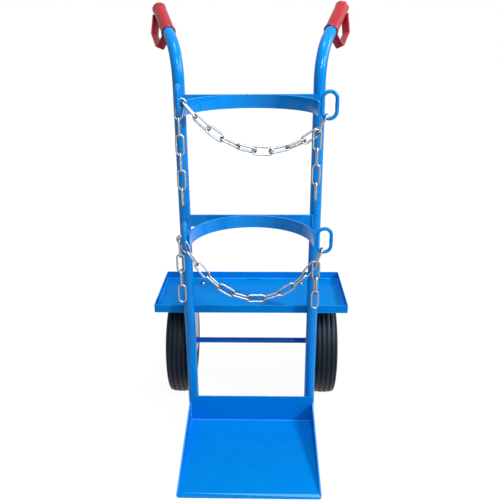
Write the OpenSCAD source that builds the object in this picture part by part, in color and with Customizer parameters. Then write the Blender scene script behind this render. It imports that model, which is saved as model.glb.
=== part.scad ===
// Cart for gas cylinders: bent tube frame, toe plate, tool tray, two wheels, two chained cradles.

/* [Frame] */
// Distance between the centres of the two uprights
track = 320; // [200:1:500]
// Outside diameter of the uprights
tube_d = 28; // [16:0.5:50]
// Wall of the uprights
tube_wall = 2.5; // [1:0.1:5]
// Height at which the uprights start to bend
bend_start = 907; // [500:1:1200]
// Centre line radius of the handle bend
bend_r = 107; // [50:1:200]
// Angle of the handle bend
bend_angle = 62; // [10:1:90]
// How far each handle turns outwards
splay = 20; // [0:1:45]
// Straight tube between the bend and the grip
neck_length = 30; // [5:1:100]
// Height of the flat bars
bar_height = 30; // [10:1:60]
// Thickness of the flat bars
bar_thick = 5; // [2:0.5:10]
// Distance of the crossbars' front faces from the uprights' centres
bar_front = 12; // [8:0.5:14]
// Underside of the lower crossbar
lower_bar_z = 569; // [300:1:700]
// Underside of the upper crossbar
upper_bar_z = 854; // [600:1:1000]
// Gap that a weld bead bridges
weld_gap = 0.05; // [0.02:0.01:0.3]

/* [Cradles] */
// Outside radius of a cradle strap
cradle_r = 141; // [80:1:200]
// Sideways offset of the cradle centre
cradle_offset = 7.5; // [-20:0.5:20]
// Straight arm at each end of a strap
arm_length = 7; // [0:0.5:30]

/* [Chain] */
// Diameter of the link wire
wire_d = 4.5; // [3:0.1:8]
// Inside length of a link
link_inner = 37.3; // [20:0.1:60]
// Outside width of a link
link_width = 20; // [14:0.5:40]
// Slack at each joint of a hanging end
tail_slack = 0.6; // [0.3:0.05:2]
// Slack at each joint of the upper span
upper_slack = 2; // [0.3:0.05:3]
// Slack at each joint of the lower span
lower_slack = 0.8; // [0.3:0.05:2]
// Rod of the anchor rings
ring_rod = 8; // [5:0.5:12]
// Outside width of the anchor rings
ring_width = 38; // [25:0.5:60]
// Outside length of the anchor rings
ring_length = 62; // [40:0.5:90]
// Height of the upper left ring's lower bar above the strap's underside
upper_left_lift = 9; // [0:0.5:20]
// Height of the upper right ring's middle above the strap's underside
upper_right_lift = 22; // [5:0.5:30]
// Height of the lower left ring's lower bar above the strap's underside
lower_left_lift = 4; // [0:0.5:20]
// Height of the lower right ring's middle above the strap's underside
lower_right_lift = 16; // [5:0.5:30]
// Lean of the ring link at the upper left ring
upper_lean = 16; // [0:1:40]
// Lean of the ring link at the lower left ring
lower_lean = -27; // [-40:1:0]

/* [Toe plate] */
// Width of the toe plate
toe_width = 340; // [200:1:500]
// Distance of its front edge from the uprights' centres
toe_front = 304.5; // [150:0.5:400]
// Sheet of the toe plate
toe_sheet = 3.5; // [2:0.1:8]
// Height of its back plate
toe_back = 80; // [40:1:150]
// Height of its side walls at the back
toe_side = 62.5; // [20:0.5:120]
// Height of its side walls at the front
toe_nose = 4.5; // [4:0.5:30]
// Radius of its front corners
toe_corner = 8; // [2:0.5:30]

/* [Tool tray] */
// Width of the tray
tray_width = 512; // [300:1:700]
// Depth of the tray
tray_depth = 229; // [100:1:400]
// Height of the tray walls
tray_height = 23; // [10:0.5:80]
// Sheet of the tray
tray_sheet = 2; // [1:0.1:4]
// Gap between the wheels' tops and the tray
tray_gap = 19; // [5:1:60]
// Length of the slots along the rear edge
slot_length = 46; // [10:1:80]
// Width of the slots
slot_width = 3; // [2:0.5:12]
// Distance between slots
slot_pitch = 198; // [60:1:220]
// Bolts: distance from the middle
bolt_x = 144; // [50:1:200]
// Bolts: distance behind the uprights' centres
bolt_y = 202; // [50:1:230]
// Bolts: diameter
bolt_d = 8; // [5:1:12]

/* [Wheels] */
// Wheel diameter
wheel_d = 300; // [150:1:450]
// Width of a tyre
tyre_width = 66; // [30:1:120]
// Distance of a tyre's middle from the cart's middle
wheel_x = 206; // [150:1:300]
// Distance of the axle behind the uprights' centres
axle_y = 170; // [100:1:250]
// Diameter of the axle
axle_d = 16; // [10:0.5:30]
// Distance between tread grooves
groove_pitch = 13.4; // [6:0.1:30]
// Diameter of the rim's flanges
rim_d = 176; // [100:1:300]
// Thickness of the axle brackets
bracket_thick = 5; // [3:0.5:10]
// Distance of the brackets' inner faces from the middle
bracket_x = 164; // [120:1:170]
// Thickness of the axle washers
washer_t = 2.5; // [1:0.1:5]
// Running clearance of the wheel on the axle
axle_play = 0.06; // [0.01:0.01:0.1]
// End play of the wheel between its washers
end_play = 0.3; // [0.1:0.05:2]

/* [Grips] */
// Length of a grip
grip_length = 118; // [80:1:160]
// Diameter of a grip
grip_d = 32; // [29:0.5:45]
// Width of the knuckle guard's band
guard_width = 20; // [8:0.5:30]
// Thickness of the knuckle guard's band
guard_thick = 4; // [2:0.5:8]
// Reach of the knuckle guard from the grip's axis
guard_reach = 47; // [30:1:80]
// Turn of the knuckle guard away from straight down
guard_turn = 25; // [0:1:60]

/* [Hidden] */
$fn = 48;

blue = [0.02, 0.35, 0.80];
zinc = [0.75, 0.76, 0.78];
black = [0.05, 0.05, 0.06];
red = [0.75, 0.10, 0.15];
nylon = [0.85, 0.85, 0.82];

wheel_r = wheel_d / 2;
tube_r = tube_d / 2;
y_shift = (toe_front - axle_y - wheel_r) / 2;
tray_z = wheel_d + tray_gap;
hub_in = bracket_x + bracket_thick + weld_gap + washer_t + end_play;
hub_out = hub_in + tyre_width;
hub_mid = (hub_in + hub_out) / 2;
bore_r = axle_d / 2 + axle_play;
washer_r = axle_d / 2 + 7;
pin_x = hub_out + end_play + washer_t + 4.5;
axle_end = pin_x + 6;
bead_r = rim_d / 2 - 7;
bead_half = tyre_width * 10 / 33;
rim_t = 2.8;
bush_r = axle_d / 2 + 3.95;
bush_length = axle_d * 1.5;
hub_r = bush_r + 6;

// Joint geometry of the links
link_rc = (link_width - wire_d) / 2;
link_half = (link_inner + wire_d) / 2;
ring_rc = (ring_width - ring_rod) / 2;
ring_half = (ring_length - ring_rod) / 2;
throw = link_rc - wire_d - tail_slack;
left_ring_x = cradle_offset - cradle_r - ring_rod / 2 - weld_gap;
left_ring_y = -(bar_front + cradle_r + arm_length + ring_rod * 1.25);
right_ring_x = cradle_offset + cradle_r + weld_gap + ring_width / 2;
right_ring_y = -(bar_front + cradle_r + ring_rod / 4);
bar_hold = wire_d + ring_rod / 2 + wire_d / 2 + 2 * tail_slack;

function sinh(x) = (exp(x) - exp(-x)) / 2;
function cosh(x) = (exp(x) + exp(-x)) / 2;
function asinh(x) = ln(x + sqrt(x * x + 1));
function atanh(x) = ln((1 + x) / (1 - x)) / 2;
function dir(a) = [cos(a), sin(a)];

// Sag number m with sinh(m)/m equal to r, found by halving an interval
function sag(r, lo, hi, n) = n == 0 ? (lo + hi) / 2 :
  let (m = (lo + hi) / 2) sinh(m) / m < r ? sag(r, m, hi, n - 1) : sag(r, lo, m, n - 1);
// Joints of a hanging chain of n links of the given pitch from p to q, as points [along, up]
function catenary(p, q, n, pitch) = let (
    h = q[0] - p[0], v = q[1] - p[1], s = n * pitch * 1.0025,
    m = sag(sqrt(s * s - v * v) / h, 0.001, 20, 60), a = h / (2 * m),
    x0 = h / 2 - a * atanh(v / s), s0 = -a * sinh(x0 / a),
    z0 = a * cosh(x0 / a))
  [for (i = [0 : n]) let (x = x0 + a * asinh((s * i / n + s0) / a))
    [p[0] + x, p[1] + a * cosh((x - x0) / a) - z0]];

// One chain's layout, all in its own upright plane: [along from the left ring bar, up]
// c = [left bar z, right ring z, lean, span leaves the ring link's top end, links, slack, wire angle
//      of the span's first end, wire angle of the tail's end, first and last link's angle,
//      ring angle, right ring link's angle, knot of the span's end, knot of the tail's end],
//      where a knot is how far the wire lies from the link's end wire: across, along and sideways
upper = [upper_bar_z + upper_left_lift, upper_bar_z + upper_right_lift, upper_lean, true, 9, upper_slack,
  40, -90, -54, 39, 36, 26, wire_d * [0.331, 1.484, 0.571], wire_d * [-0.069, 1.731, -0.616]];
lower = [lower_bar_z + lower_left_lift, lower_bar_z + lower_right_lift, lower_lean, false, 10, lower_slack,
  -60, 160, -59, 52, 30.5, 21, wire_d * [0.022, 1.467, 0.489], wire_d * [0.578, 2.027, -0.52]];

function bar_x(c) = right_ring_x - ring_rc * sin(c[10]);
function bar_z(c) = c[1] - (ring_half - ring_rc) - ring_rc * cos(c[10]);
function turn() = atan2(right_ring_y - left_ring_y, bar_x(upper) - left_ring_x);
function span_l(c) = sqrt(pow(bar_x(c) - left_ring_x, 2) + pow(right_ring_y - left_ring_y, 2));
function lean_dir(c) = dir(90 - c[2]);
function ring_link(c) = [0, c[0]] + (link_half - bar_hold) * lean_dir(c);
function eye(c, top) = ring_link(c) + (top ? 1 : -1) * (link_half - link_rc) * lean_dir(c);
function span_wire(c) = eye(c, c[3]) + throw * dir(c[6]);
function tail_wire(c) = eye(c, !c[3]) + throw * dir(c[7]);
function joint_half(c) = (wire_d + c[5]) / 2;
function end_dir(c) = dir(90 - c[11]);
function end_wire(c) = [span_l(c), bar_z(c)]
  + (ring_rod / 2 + wire_d / 2 + tail_slack) * dir(90 - c[10]);
function end_link(c) = end_wire(c) - link_half * end_dir(c);
function knot(c) = end_wire(c) - 2 * link_half * end_dir(c);
function span_end(c) = knot(c) + c[12][1] * end_dir(c) + c[12][0] * [end_dir(c)[1], -end_dir(c)[0]];
function span_joints(c) = catenary(span_wire(c) + joint_half(c) * dir(c[8]),
  span_end(c) - joint_half(c) * dir(c[9]), c[4], link_inner - c[5]);

// Uprights and handles
module at_origin() {
  translate([0, y_shift, 0]) children();
}

module handle_frame(side) {
  translate([side * track / 2, 0, bend_start])
    rotate([0, 0, 90 - side * splay])
      children();
}

module grip_frame(side) {
  handle_frame(side)
    translate([bend_r, 0, 0])
      rotate([0, bend_angle, 0])
        translate([-bend_r, 0, neck_length])
          children();
}

// Path of one upright and its handle, of radius r, reaching past both ends by the given amount
module handle_path(side, r, past) {
  translate([side * track / 2, 0, -past]) cylinder(r = r, h = bend_start + past);
  handle_frame(side)
    translate([bend_r, 0, 0])
      rotate([90, 0, 180])
        rotate_extrude(angle = bend_angle) translate([bend_r, 0]) circle(r = r);
  grip_frame(side)
    translate([0, 0, -neck_length])
      cylinder(r = r, h = neck_length + grip_length - 6 + past);
}

module upright_tube(side) {
  difference() {
    handle_path(side, tube_r, 0);
    handle_path(side, tube_r - tube_wall, 1);
  }
}

module upright_cut(side, extra) {
  translate([side * track / 2, 0, -1]) cylinder(r = tube_r + extra, h = bend_start);
}

// Red grip with its knuckle guard
module guard_outline() {
  polygon([[12, 0], [guard_reach - 3, 0], [guard_reach, 3], [guard_reach, grip_length - 50],
    [guard_reach - 2.5, grip_length - 46], [grip_d / 2 + 5, grip_length - 6], [12, grip_length - 6]]);
}

module grip(side) {
  grip_frame(side) {
    difference() {
      union() {
        cylinder(r = grip_d / 2, h = grip_length);
        rotate_extrude() translate([grip_d / 2, 3]) circle(r = 1.6);
        translate([0, 0, grip_length - 4]) cylinder(r = grip_d / 2 + 1, h = 4);
        rotate([0, 0, -side * guard_turn])
          rotate([90, 0, 0])
            translate([0, 0, -guard_width / 2])
              linear_extrude(height = guard_width) difference() {
                guard_outline();
                polygon([[0, guard_thick], [guard_reach - guard_thick - 3, guard_thick],
                  [guard_reach - guard_thick, guard_thick + 3],
                  [guard_reach - guard_thick, grip_length - 51],
                  [guard_reach - guard_thick - 2, grip_length - 48.5],
                  [grip_d / 2 + 1.2, grip_length - 12], [0, grip_length - 12]]);
              }
      }
      translate([0, 0, -1]) cylinder(r = tube_r + weld_gap, h = grip_length - 5 + weld_gap);
    }
  }
}

// Flat bars
module crossbar(z) {
  difference() {
    translate([-track / 2, -bar_front, z]) cube([track, bar_thick, bar_height]);
    for (side = [-1, 1]) upright_cut(side, weld_gap);
  }
}

module cradle_strap(z) {
  cy = -bar_front - cradle_r - weld_gap;
  translate([cradle_offset, cy, z]) {
    rotate_extrude(angle = 180)
      translate([cradle_r - bar_thick, 0]) square([bar_thick, bar_height]);
    for (x = [-cradle_r, cradle_r - bar_thick])
      translate([x, -arm_length, 0]) cube([bar_thick, arm_length + 0.01, bar_height]);
  }
}

// Anchor rings and chain links
module oval(half, rc, rod) {
  for (s = [0, 180])
    rotate([0, s, 0])
      translate([0, 0, half - rc])
        rotate([90, 0, 0])
          rotate_extrude(angle = 180) translate([rc, 0]) circle(d = rod);
  for (x = [-rc, rc])
    translate([x, 0, rc - half]) cylinder(d = rod, h = 2 * (half - rc));
}

module left_ring(c) {
  translate([left_ring_x, left_ring_y, c[0] + ring_half])
    rotate([0, 0, 90])
      oval(ring_half, ring_rc, ring_rod);
}

module right_ring(c) {
  translate([right_ring_x, right_ring_y, c[1]]) oval(ring_half, ring_rc, ring_rod);
}

module chain_plane() {
  translate([left_ring_x, left_ring_y, 0]) rotate([0, 0, turn()]) children();
}

// A link centred on p = [along, up], its length at the given angle, rolled about its length
module chain_link(p, angle, roll, side = 0) {
  translate([p[0], side, p[1]])
    rotate([0, 90 - angle, 0])
      rotate([0, 0, roll])
        oval(link_half, link_rc, wire_d);
}

module chain_span(c, roll_step) {
  j = span_joints(c);
  side = c[12][2];
  n = c[4];
  chain_plane() {
    chain_link(ring_link(c), 90 - c[2], 0);
    for (i = [0 : n - 1]) {
      step = j[i + 1] - j[i];
      chain_link((j[i] + j[i + 1]) / 2, atan2(step[1], step[0]), 90 - roll_step * i,
        side * (i + 0.5) / n);
    }
    chain_link(end_link(c), 90 - c[11], 90);
  }
}

function tail_z(z, i) = z - link_half - i * (link_inner - tail_slack);

module left_tail(c, i) {
  w = tail_wire(c);
  chain_plane() chain_link([w[0], tail_z(w[1], i)], -90, 90 - 90 * i);
}

module right_tail(c, i, roll) {
  w = knot(c) + [c[13][0], c[13][1]];
  chain_plane() chain_link([w[0], tail_z(w[1], i)], -90, roll + 90 * i, c[13][2]);
}

// Toe plate: floor, back plate and two tapering side walls from one folded sheet
module toe_body() {
  w = toe_width / 2;
  t = toe_sheet;
  back = -tube_r - weld_gap;
  difference() {
    union() {
      translate([-w, -toe_front, 0]) cube([toe_width, toe_front + back, t]);
      translate([-w + t, back - t, 0]) cube([toe_width - 2 * t, t, toe_back]);
      for (x = [-w, w - t])
        translate([x, 0, 0])
          rotate([90, 0, 90])
            linear_extrude(height = t)
              polygon([[-toe_front, 0], [back, 0], [back, toe_side], [-toe_front, toe_nose]]);
    }
    for (s = [-1, 1])
      translate([s * (w - toe_corner), -toe_front + toe_corner, -1])
        difference() {
          translate([s > 0 ? 0 : -toe_corner - 1, -toe_corner - 1, 0])
            cube([toe_corner + 1, toe_corner + 1, toe_back]);
          translate([0, 0, -1]) cylinder(r = toe_corner, h = toe_back + 2);
        }
  }
}

// Tool tray
module tray_body() {
  w = tray_width / 2;
  t = tray_sheet;
  translate([0, tube_r + 0.5, tray_z])
    difference() {
      translate([-w, 0, 0]) cube([tray_width, tray_depth, tray_height]);
      translate([-w + t, t, t])
        cube([tray_width - 2 * t, tray_depth - 2 * t, tray_height]);
      for (x = [-slot_pitch, 0, slot_pitch])
        translate([x - slot_length / 2, tray_depth - 12.5, -1])
          cube([slot_length, slot_width, t + 2]);
      for (s = [-1, 1])
        translate([s * bolt_x, bolt_y - tube_r - 0.5, -1]) cylinder(r = bolt_d / 2 + 0.3, h = t + 2);
    }
}

module bolts() {
  for (s = [-1, 1])
    translate([s * bolt_x, bolt_y, tray_z]) {
      translate([0, 0, tray_sheet]) {
        cylinder(r = bolt_d, h = 1.5);
        translate([0, 0, 1.5]) cylinder(r = bolt_d * 0.75, h = 4, $fn = 6);
      }
      translate([0, 0, -bracket_thick - 10])
        cylinder(r = bolt_d / 2, h = 10 + bracket_thick + tray_sheet);
      translate([0, 0, -bracket_thick - 6.5]) cylinder(r = bolt_d * 0.83, h = 6.5, $fn = 6);
    }
}

// Axle bracket: gusset behind the upright with a flange under the tray
module axle_bracket(side) {
  x0 = bracket_x;
  difference() {
    mirror([side < 0 ? 1 : 0, 0, 0]) {
      translate([x0, 0, 0])
        rotate([90, 0, 90])
          linear_extrude(height = bracket_thick) {
            polygon([[6, wheel_r - 38], [6, tray_z], [bolt_y + 28, tray_z], [bolt_y + 28, tray_z - 30],
              [axle_y + 23.5, wheel_r + 6], [axle_y + 9, wheel_r - 22.3], [axle_y - 8, wheel_r - 22.6]]);
            translate([axle_y, wheel_r]) circle(r = 24);
          }
      translate([bolt_x - 22, bolt_y - 30, tray_z - bracket_thick])
        cube([x0 + 1 - bolt_x + 22, 58, bracket_thick]);
    }
    upright_cut(side, weld_gap);
    translate([-300, axle_y, wheel_r]) rotate([0, 90, 0]) cylinder(r = axle_d / 2 + weld_gap, h = 600);
    translate([side * bolt_x, bolt_y, tray_z - bracket_thick - 1])
      cylinder(r = bolt_d / 2 + 0.3, h = bracket_thick + 2);
  }
}

// Turned parts around the axle's line, drawn along +X
module on_axle(side) {
  translate([0, axle_y, wheel_r]) rotate([0, side * 90, 0]) children();
}

module axle_bar() {
  difference() {
    translate([-axle_end, axle_y, wheel_r]) rotate([0, 90, 0]) cylinder(r = axle_d / 2, h = 2 * axle_end);
    for (s = [-1, 1])
      translate([s * pin_x, axle_y, wheel_r - 20]) cylinder(r = 2.05, h = 40);
  }
}

module washers() {
  for (s = [-1, 1])
    on_axle(s)
      for (x = [bracket_x + bracket_thick + weld_gap, hub_out + end_play])
        translate([0, 0, x])
          difference() {
            cylinder(r = washer_r, h = washer_t);
            translate([0, 0, -1]) cylinder(r = bore_r + 0.04, h = washer_t + 2);
          }
}

module pins() {
  for (s = [-1, 1])
    translate([s * pin_x, axle_y, wheel_r]) {
      translate([0, 0, -15]) cylinder(r = 2, h = 27);
      translate([0, 0, 14.5]) rotate([90, 0, 0])
        rotate_extrude() translate([3, 0]) circle(r = 1.2);
    }
}

module tyre_profile() {
  h = tyre_width / 2;
  r = wheel_r;
  b = bead_half;
  difference() {
    union() {
      polygon([[bead_r + 9, -b], [bead_r + 16, -b - 4], [r - 34, -h], [r - 16, -h + 1.2],
        [r - 5, -h + 7.5], [r - 1.2, -h + 14], [r, -groove_pitch], [r, groove_pitch],
        [r - 1.2, h - 14], [r - 5, h - 7.5], [r - 16, h - 1.2], [r - 34, h],
        [bead_r + 16, b + 4], [bead_r + 9, b]]);
      for (s = [-1, 1])
        translate([bead_r + 5.5, s * b * 0.75]) square([9, b / 2], center = true);
    }
    // air space
    polygon([[bead_r - 2, -b * 0.6], [bead_r + 20, -b * 0.8], [r - 34, -h + 8], [r - 22, -h + 9],
      [r - 13, -h + 18], [r - 13, h - 18], [r - 22, h - 9], [r - 34, h - 8],
      [bead_r + 20, b * 0.8], [bead_r - 2, b * 0.6]]);
    for (k = [-1 : 1]) translate([r, k * groove_pitch]) square([9, 2.8], center = true);
    for (k = [-1, 1]) translate([r - 3.4, k * groove_pitch * 1.95]) square([7, 1.6], center = true);
  }
}

module tyre(side) {
  on_axle(side) translate([0, 0, wheel_x]) rotate_extrude($fn = 96) tyre_profile();
}

module rim(side) {
  b = bead_half;
  seat = bead_r + 0.9;
  well = bead_r - 8;
  on_axle(side)
    difference() {
      union() {
        translate([0, 0, wheel_x])
          rotate_extrude($fn = 96)
            polygon([[bead_r + 9, -b - 3.5], [bead_r + 9, -b - 1], [seat, -b - 0.2], [seat, -b * 0.4],
              [well, -b * 0.25], [well, b * 0.25], [seat, b * 0.4], [seat, b + 0.2],
              [bead_r + 9, b + 1], [bead_r + 9, b + 3.5], [seat - rim_t, b + 3], [seat - rim_t, b * 0.5],
              [well - 3, b * 0.375], [well - 3, -b * 0.375], [seat - rim_t, -b * 0.5],
              [seat - rim_t, -b - 3]]);
        translate([0, 0, wheel_x])
          rotate_extrude($fn = 96)
            polygon([[hub_r - 2, -1.5], [hub_r + 16, -1.5], [hub_r + 28, 4], [well - 2.9, 4],
              [well - 2.9, 7], [hub_r + 27, 7], [hub_r + 15, 1.5], [hub_r - 2, 1.5]]);
        translate([0, 0, hub_in + 2]) cylinder(r = hub_r, h = hub_out - hub_in - 4);
      }
      translate([0, 0, hub_in - 1]) cylinder(r = bush_r + weld_gap, h = hub_out - hub_in + 2);
      for (a = [0 : 60 : 300])
        rotate([0, 0, a]) translate([bead_r - 21, 0, wheel_x - 10]) cylinder(r = 6, h = 30);
    }
}

module bushes(side) {
  on_axle(side)
    for (m = [0, 1])
      translate([0, 0, hub_mid])
        mirror([0, 0, m])
          translate([0, 0, (hub_out - hub_in) / 2])
            difference() {
              union() {
                translate([0, 0, -bush_length]) cylinder(r = bush_r, h = bush_length);
                translate([0, 0, -1.95]) cylinder(r = washer_r - 0.5, h = 1.95);
              }
              translate([0, 0, -bush_length - 1]) cylinder(r = bore_r, h = bush_length + 2);
            }
}

module left_upright_tube() color(blue) at_origin() upright_tube(-1);
module right_upright_tube() color(blue) at_origin() upright_tube(1);
module upper_crossbar() color(blue) at_origin() crossbar(upper_bar_z);
module lower_crossbar() color(blue) at_origin() crossbar(lower_bar_z);
module upper_cradle_strap() color(blue) at_origin() cradle_strap(upper_bar_z);
module lower_cradle_strap() color(blue) at_origin() cradle_strap(lower_bar_z);
module upper_left_ring() color(blue) at_origin() left_ring(upper);
module upper_right_ring() color(blue) at_origin() right_ring(upper);
module lower_left_ring() color(blue) at_origin() left_ring(lower);
module lower_right_ring() color(blue) at_origin() right_ring(lower);
module toe_plate() color(blue) at_origin() toe_body();
module tool_tray() color(blue) at_origin() tray_body();
module tray_bolts() color(zinc) at_origin() bolts();
module left_axle_bracket() color(blue) at_origin() axle_bracket(-1);
module right_axle_bracket() color(blue) at_origin() axle_bracket(1);
module axle() color(blue) at_origin() axle_bar();
module axle_washers() color(zinc) at_origin() washers();
module axle_pins() color(zinc) at_origin() pins();
module left_grip() color(red) at_origin() grip(-1);
module right_grip() color(red) at_origin() grip(1);
module left_tyre() color(black) at_origin() tyre(-1);
module right_tyre() color(black) at_origin() tyre(1);
module left_rim() color(blue) at_origin() rim(-1);
module right_rim() color(blue) at_origin() rim(1);
module left_wheel_bushes() color(nylon) at_origin() bushes(-1);
module right_wheel_bushes() color(nylon) at_origin() bushes(1);
module upper_chain_span() color(zinc) at_origin() chain_span(upper, 56.25);
module lower_chain_span() color(zinc) at_origin() chain_span(lower, 90);
module upper_left_tail(i) color(zinc) at_origin() left_tail(upper, i - 1);
module lower_left_tail(i) color(zinc) at_origin() left_tail(lower, i - 1);
module upper_right_tail(i) color(zinc) at_origin() right_tail(upper, i - 1, 0);
module lower_right_tail(i) color(zinc) at_origin() right_tail(lower, i - 1, -10);

left_upright_tube();
right_upright_tube();
upper_crossbar();
lower_crossbar();
upper_cradle_strap();
lower_cradle_strap();
upper_left_ring();
upper_right_ring();
lower_left_ring();
lower_right_ring();
toe_plate();
tool_tray();
tray_bolts();
left_axle_bracket();
right_axle_bracket();
axle();
axle_washers();
axle_pins();
left_grip();
right_grip();
left_tyre();
right_tyre();
left_rim();
right_rim();
left_wheel_bushes();
right_wheel_bushes();
upper_chain_span();
lower_chain_span();
upper_left_tail(1);  // upper_left_tail_1
upper_left_tail(2);  // upper_left_tail_2
upper_left_tail(3);  // upper_left_tail_3
upper_left_tail(4);  // upper_left_tail_4
upper_left_tail(5);  // upper_left_tail_5
upper_right_tail(1);  // upper_right_tail_1
upper_right_tail(2);  // upper_right_tail_2
upper_right_tail(3);  // upper_right_tail_3
upper_right_tail(4);  // upper_right_tail_4
lower_left_tail(1);  // lower_left_tail_1
lower_left_tail(2);  // lower_left_tail_2
lower_left_tail(3);  // lower_left_tail_3
lower_left_tail(4);  // lower_left_tail_4
lower_right_tail(1);  // lower_right_tail_1
lower_right_tail(2);  // lower_right_tail_2
lower_right_tail(3);  // lower_right_tail_3
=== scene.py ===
"""Dresses a two wheeled cart for gas cylinders: tube frame, chained cradles, tray, toe plate and wheels."""
import logging
import math
from dataclasses import dataclass, field
from enum import Enum
from functools import cache
from typing import Callable, Iterable, Optional, Sequence

import bmesh
import bpy
from bmesh.types import BMesh, BMEdge, BMFace, BMVert
from bpy.types import Material, Node, NodeSocket, NodeTree, Object
from mathutils import Matrix, Vector


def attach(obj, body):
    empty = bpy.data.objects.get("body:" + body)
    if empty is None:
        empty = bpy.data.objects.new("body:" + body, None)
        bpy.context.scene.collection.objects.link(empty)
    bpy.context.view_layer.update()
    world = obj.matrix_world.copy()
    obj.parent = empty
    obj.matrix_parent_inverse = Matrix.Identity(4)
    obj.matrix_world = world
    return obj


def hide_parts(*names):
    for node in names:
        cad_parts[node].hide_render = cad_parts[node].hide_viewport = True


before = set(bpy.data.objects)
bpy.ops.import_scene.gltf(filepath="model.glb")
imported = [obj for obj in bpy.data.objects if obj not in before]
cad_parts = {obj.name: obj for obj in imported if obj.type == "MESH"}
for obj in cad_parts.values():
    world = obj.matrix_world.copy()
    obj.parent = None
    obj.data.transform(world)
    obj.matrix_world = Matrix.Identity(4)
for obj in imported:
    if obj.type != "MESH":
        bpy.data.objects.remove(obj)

LOG = logging.getLogger("cart")
GROUND_SHIFT = -7.75
TO_METRES = Matrix.Translation((0.0, GROUND_SHIFT / 1000.0, 0.0)) @ Matrix.Scale(0.001, 4)
Rgb = tuple[float, float, float]
Point = tuple[float, float, float]
X, Y, Z = Vector((1, 0, 0)), Vector((0, 1, 0)), Vector((0, 0, 1))


class Slot(Enum):
    """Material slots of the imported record."""

    FRAME = "frame_paint"
    PLATE = "plate_paint"
    RUNNING = "running_gear_paint"
    BOLT = "bolt_zinc"
    GRIP = "grip_red"
    TYRE = "tyre_rubber"
    BUSH = "bush_nylon"
    CHAIN = "chain_zinc"


class Side(Enum):
    """The two sides of the cart, as the sign of X."""

    LEFT = -1
    RIGHT = 1

    @property
    def word(self) -> str:
        """Lower case name of the side."""
        return self.name.lower()


@dataclass(frozen=True)
class CartSizes:
    """Sizes shared by the sub-assemblies, in millimetres."""

    track: float = 320.0
    tube_r: float = 14.0
    tube_wall: float = 2.5
    bend_start: float = 907.0
    bend_r: float = 107.0
    bend_angle: float = 62.0
    splay: float = 20.0
    neck: float = 30.0
    bar_h: float = 30.0
    bar_t: float = 5.0
    bar_front: float = 12.0
    bar_z: tuple[float, float] = (569.0, 854.0)
    cradle_r: float = 141.0
    cradle_offset: float = 7.5
    arm: float = 7.0
    weld_gap: float = 0.05
    grip_length: float = 118.0
    axle_y: float = 170.0
    wheel_r: float = 150.0
    wheel_x: float = 206.0
    tyre_width: float = 66.0
    tray_z: float = 319.0
    ring_rod: float = 8.0
    ring_half: float = 27.0
    ring_bend: float = 15.0
    left_ring: tuple[float, float] = (-137.55, -170.0)
    right_ring: tuple[float, float] = (167.55, -155.0)
    left_bar: tuple[float, float] = (573.0, 863.0)
    right_mid: tuple[float, float] = (585.0, 876.0)


SIZES = CartSizes()


# ---------------------------------------------------------------- shader sheets and shared effects


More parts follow.
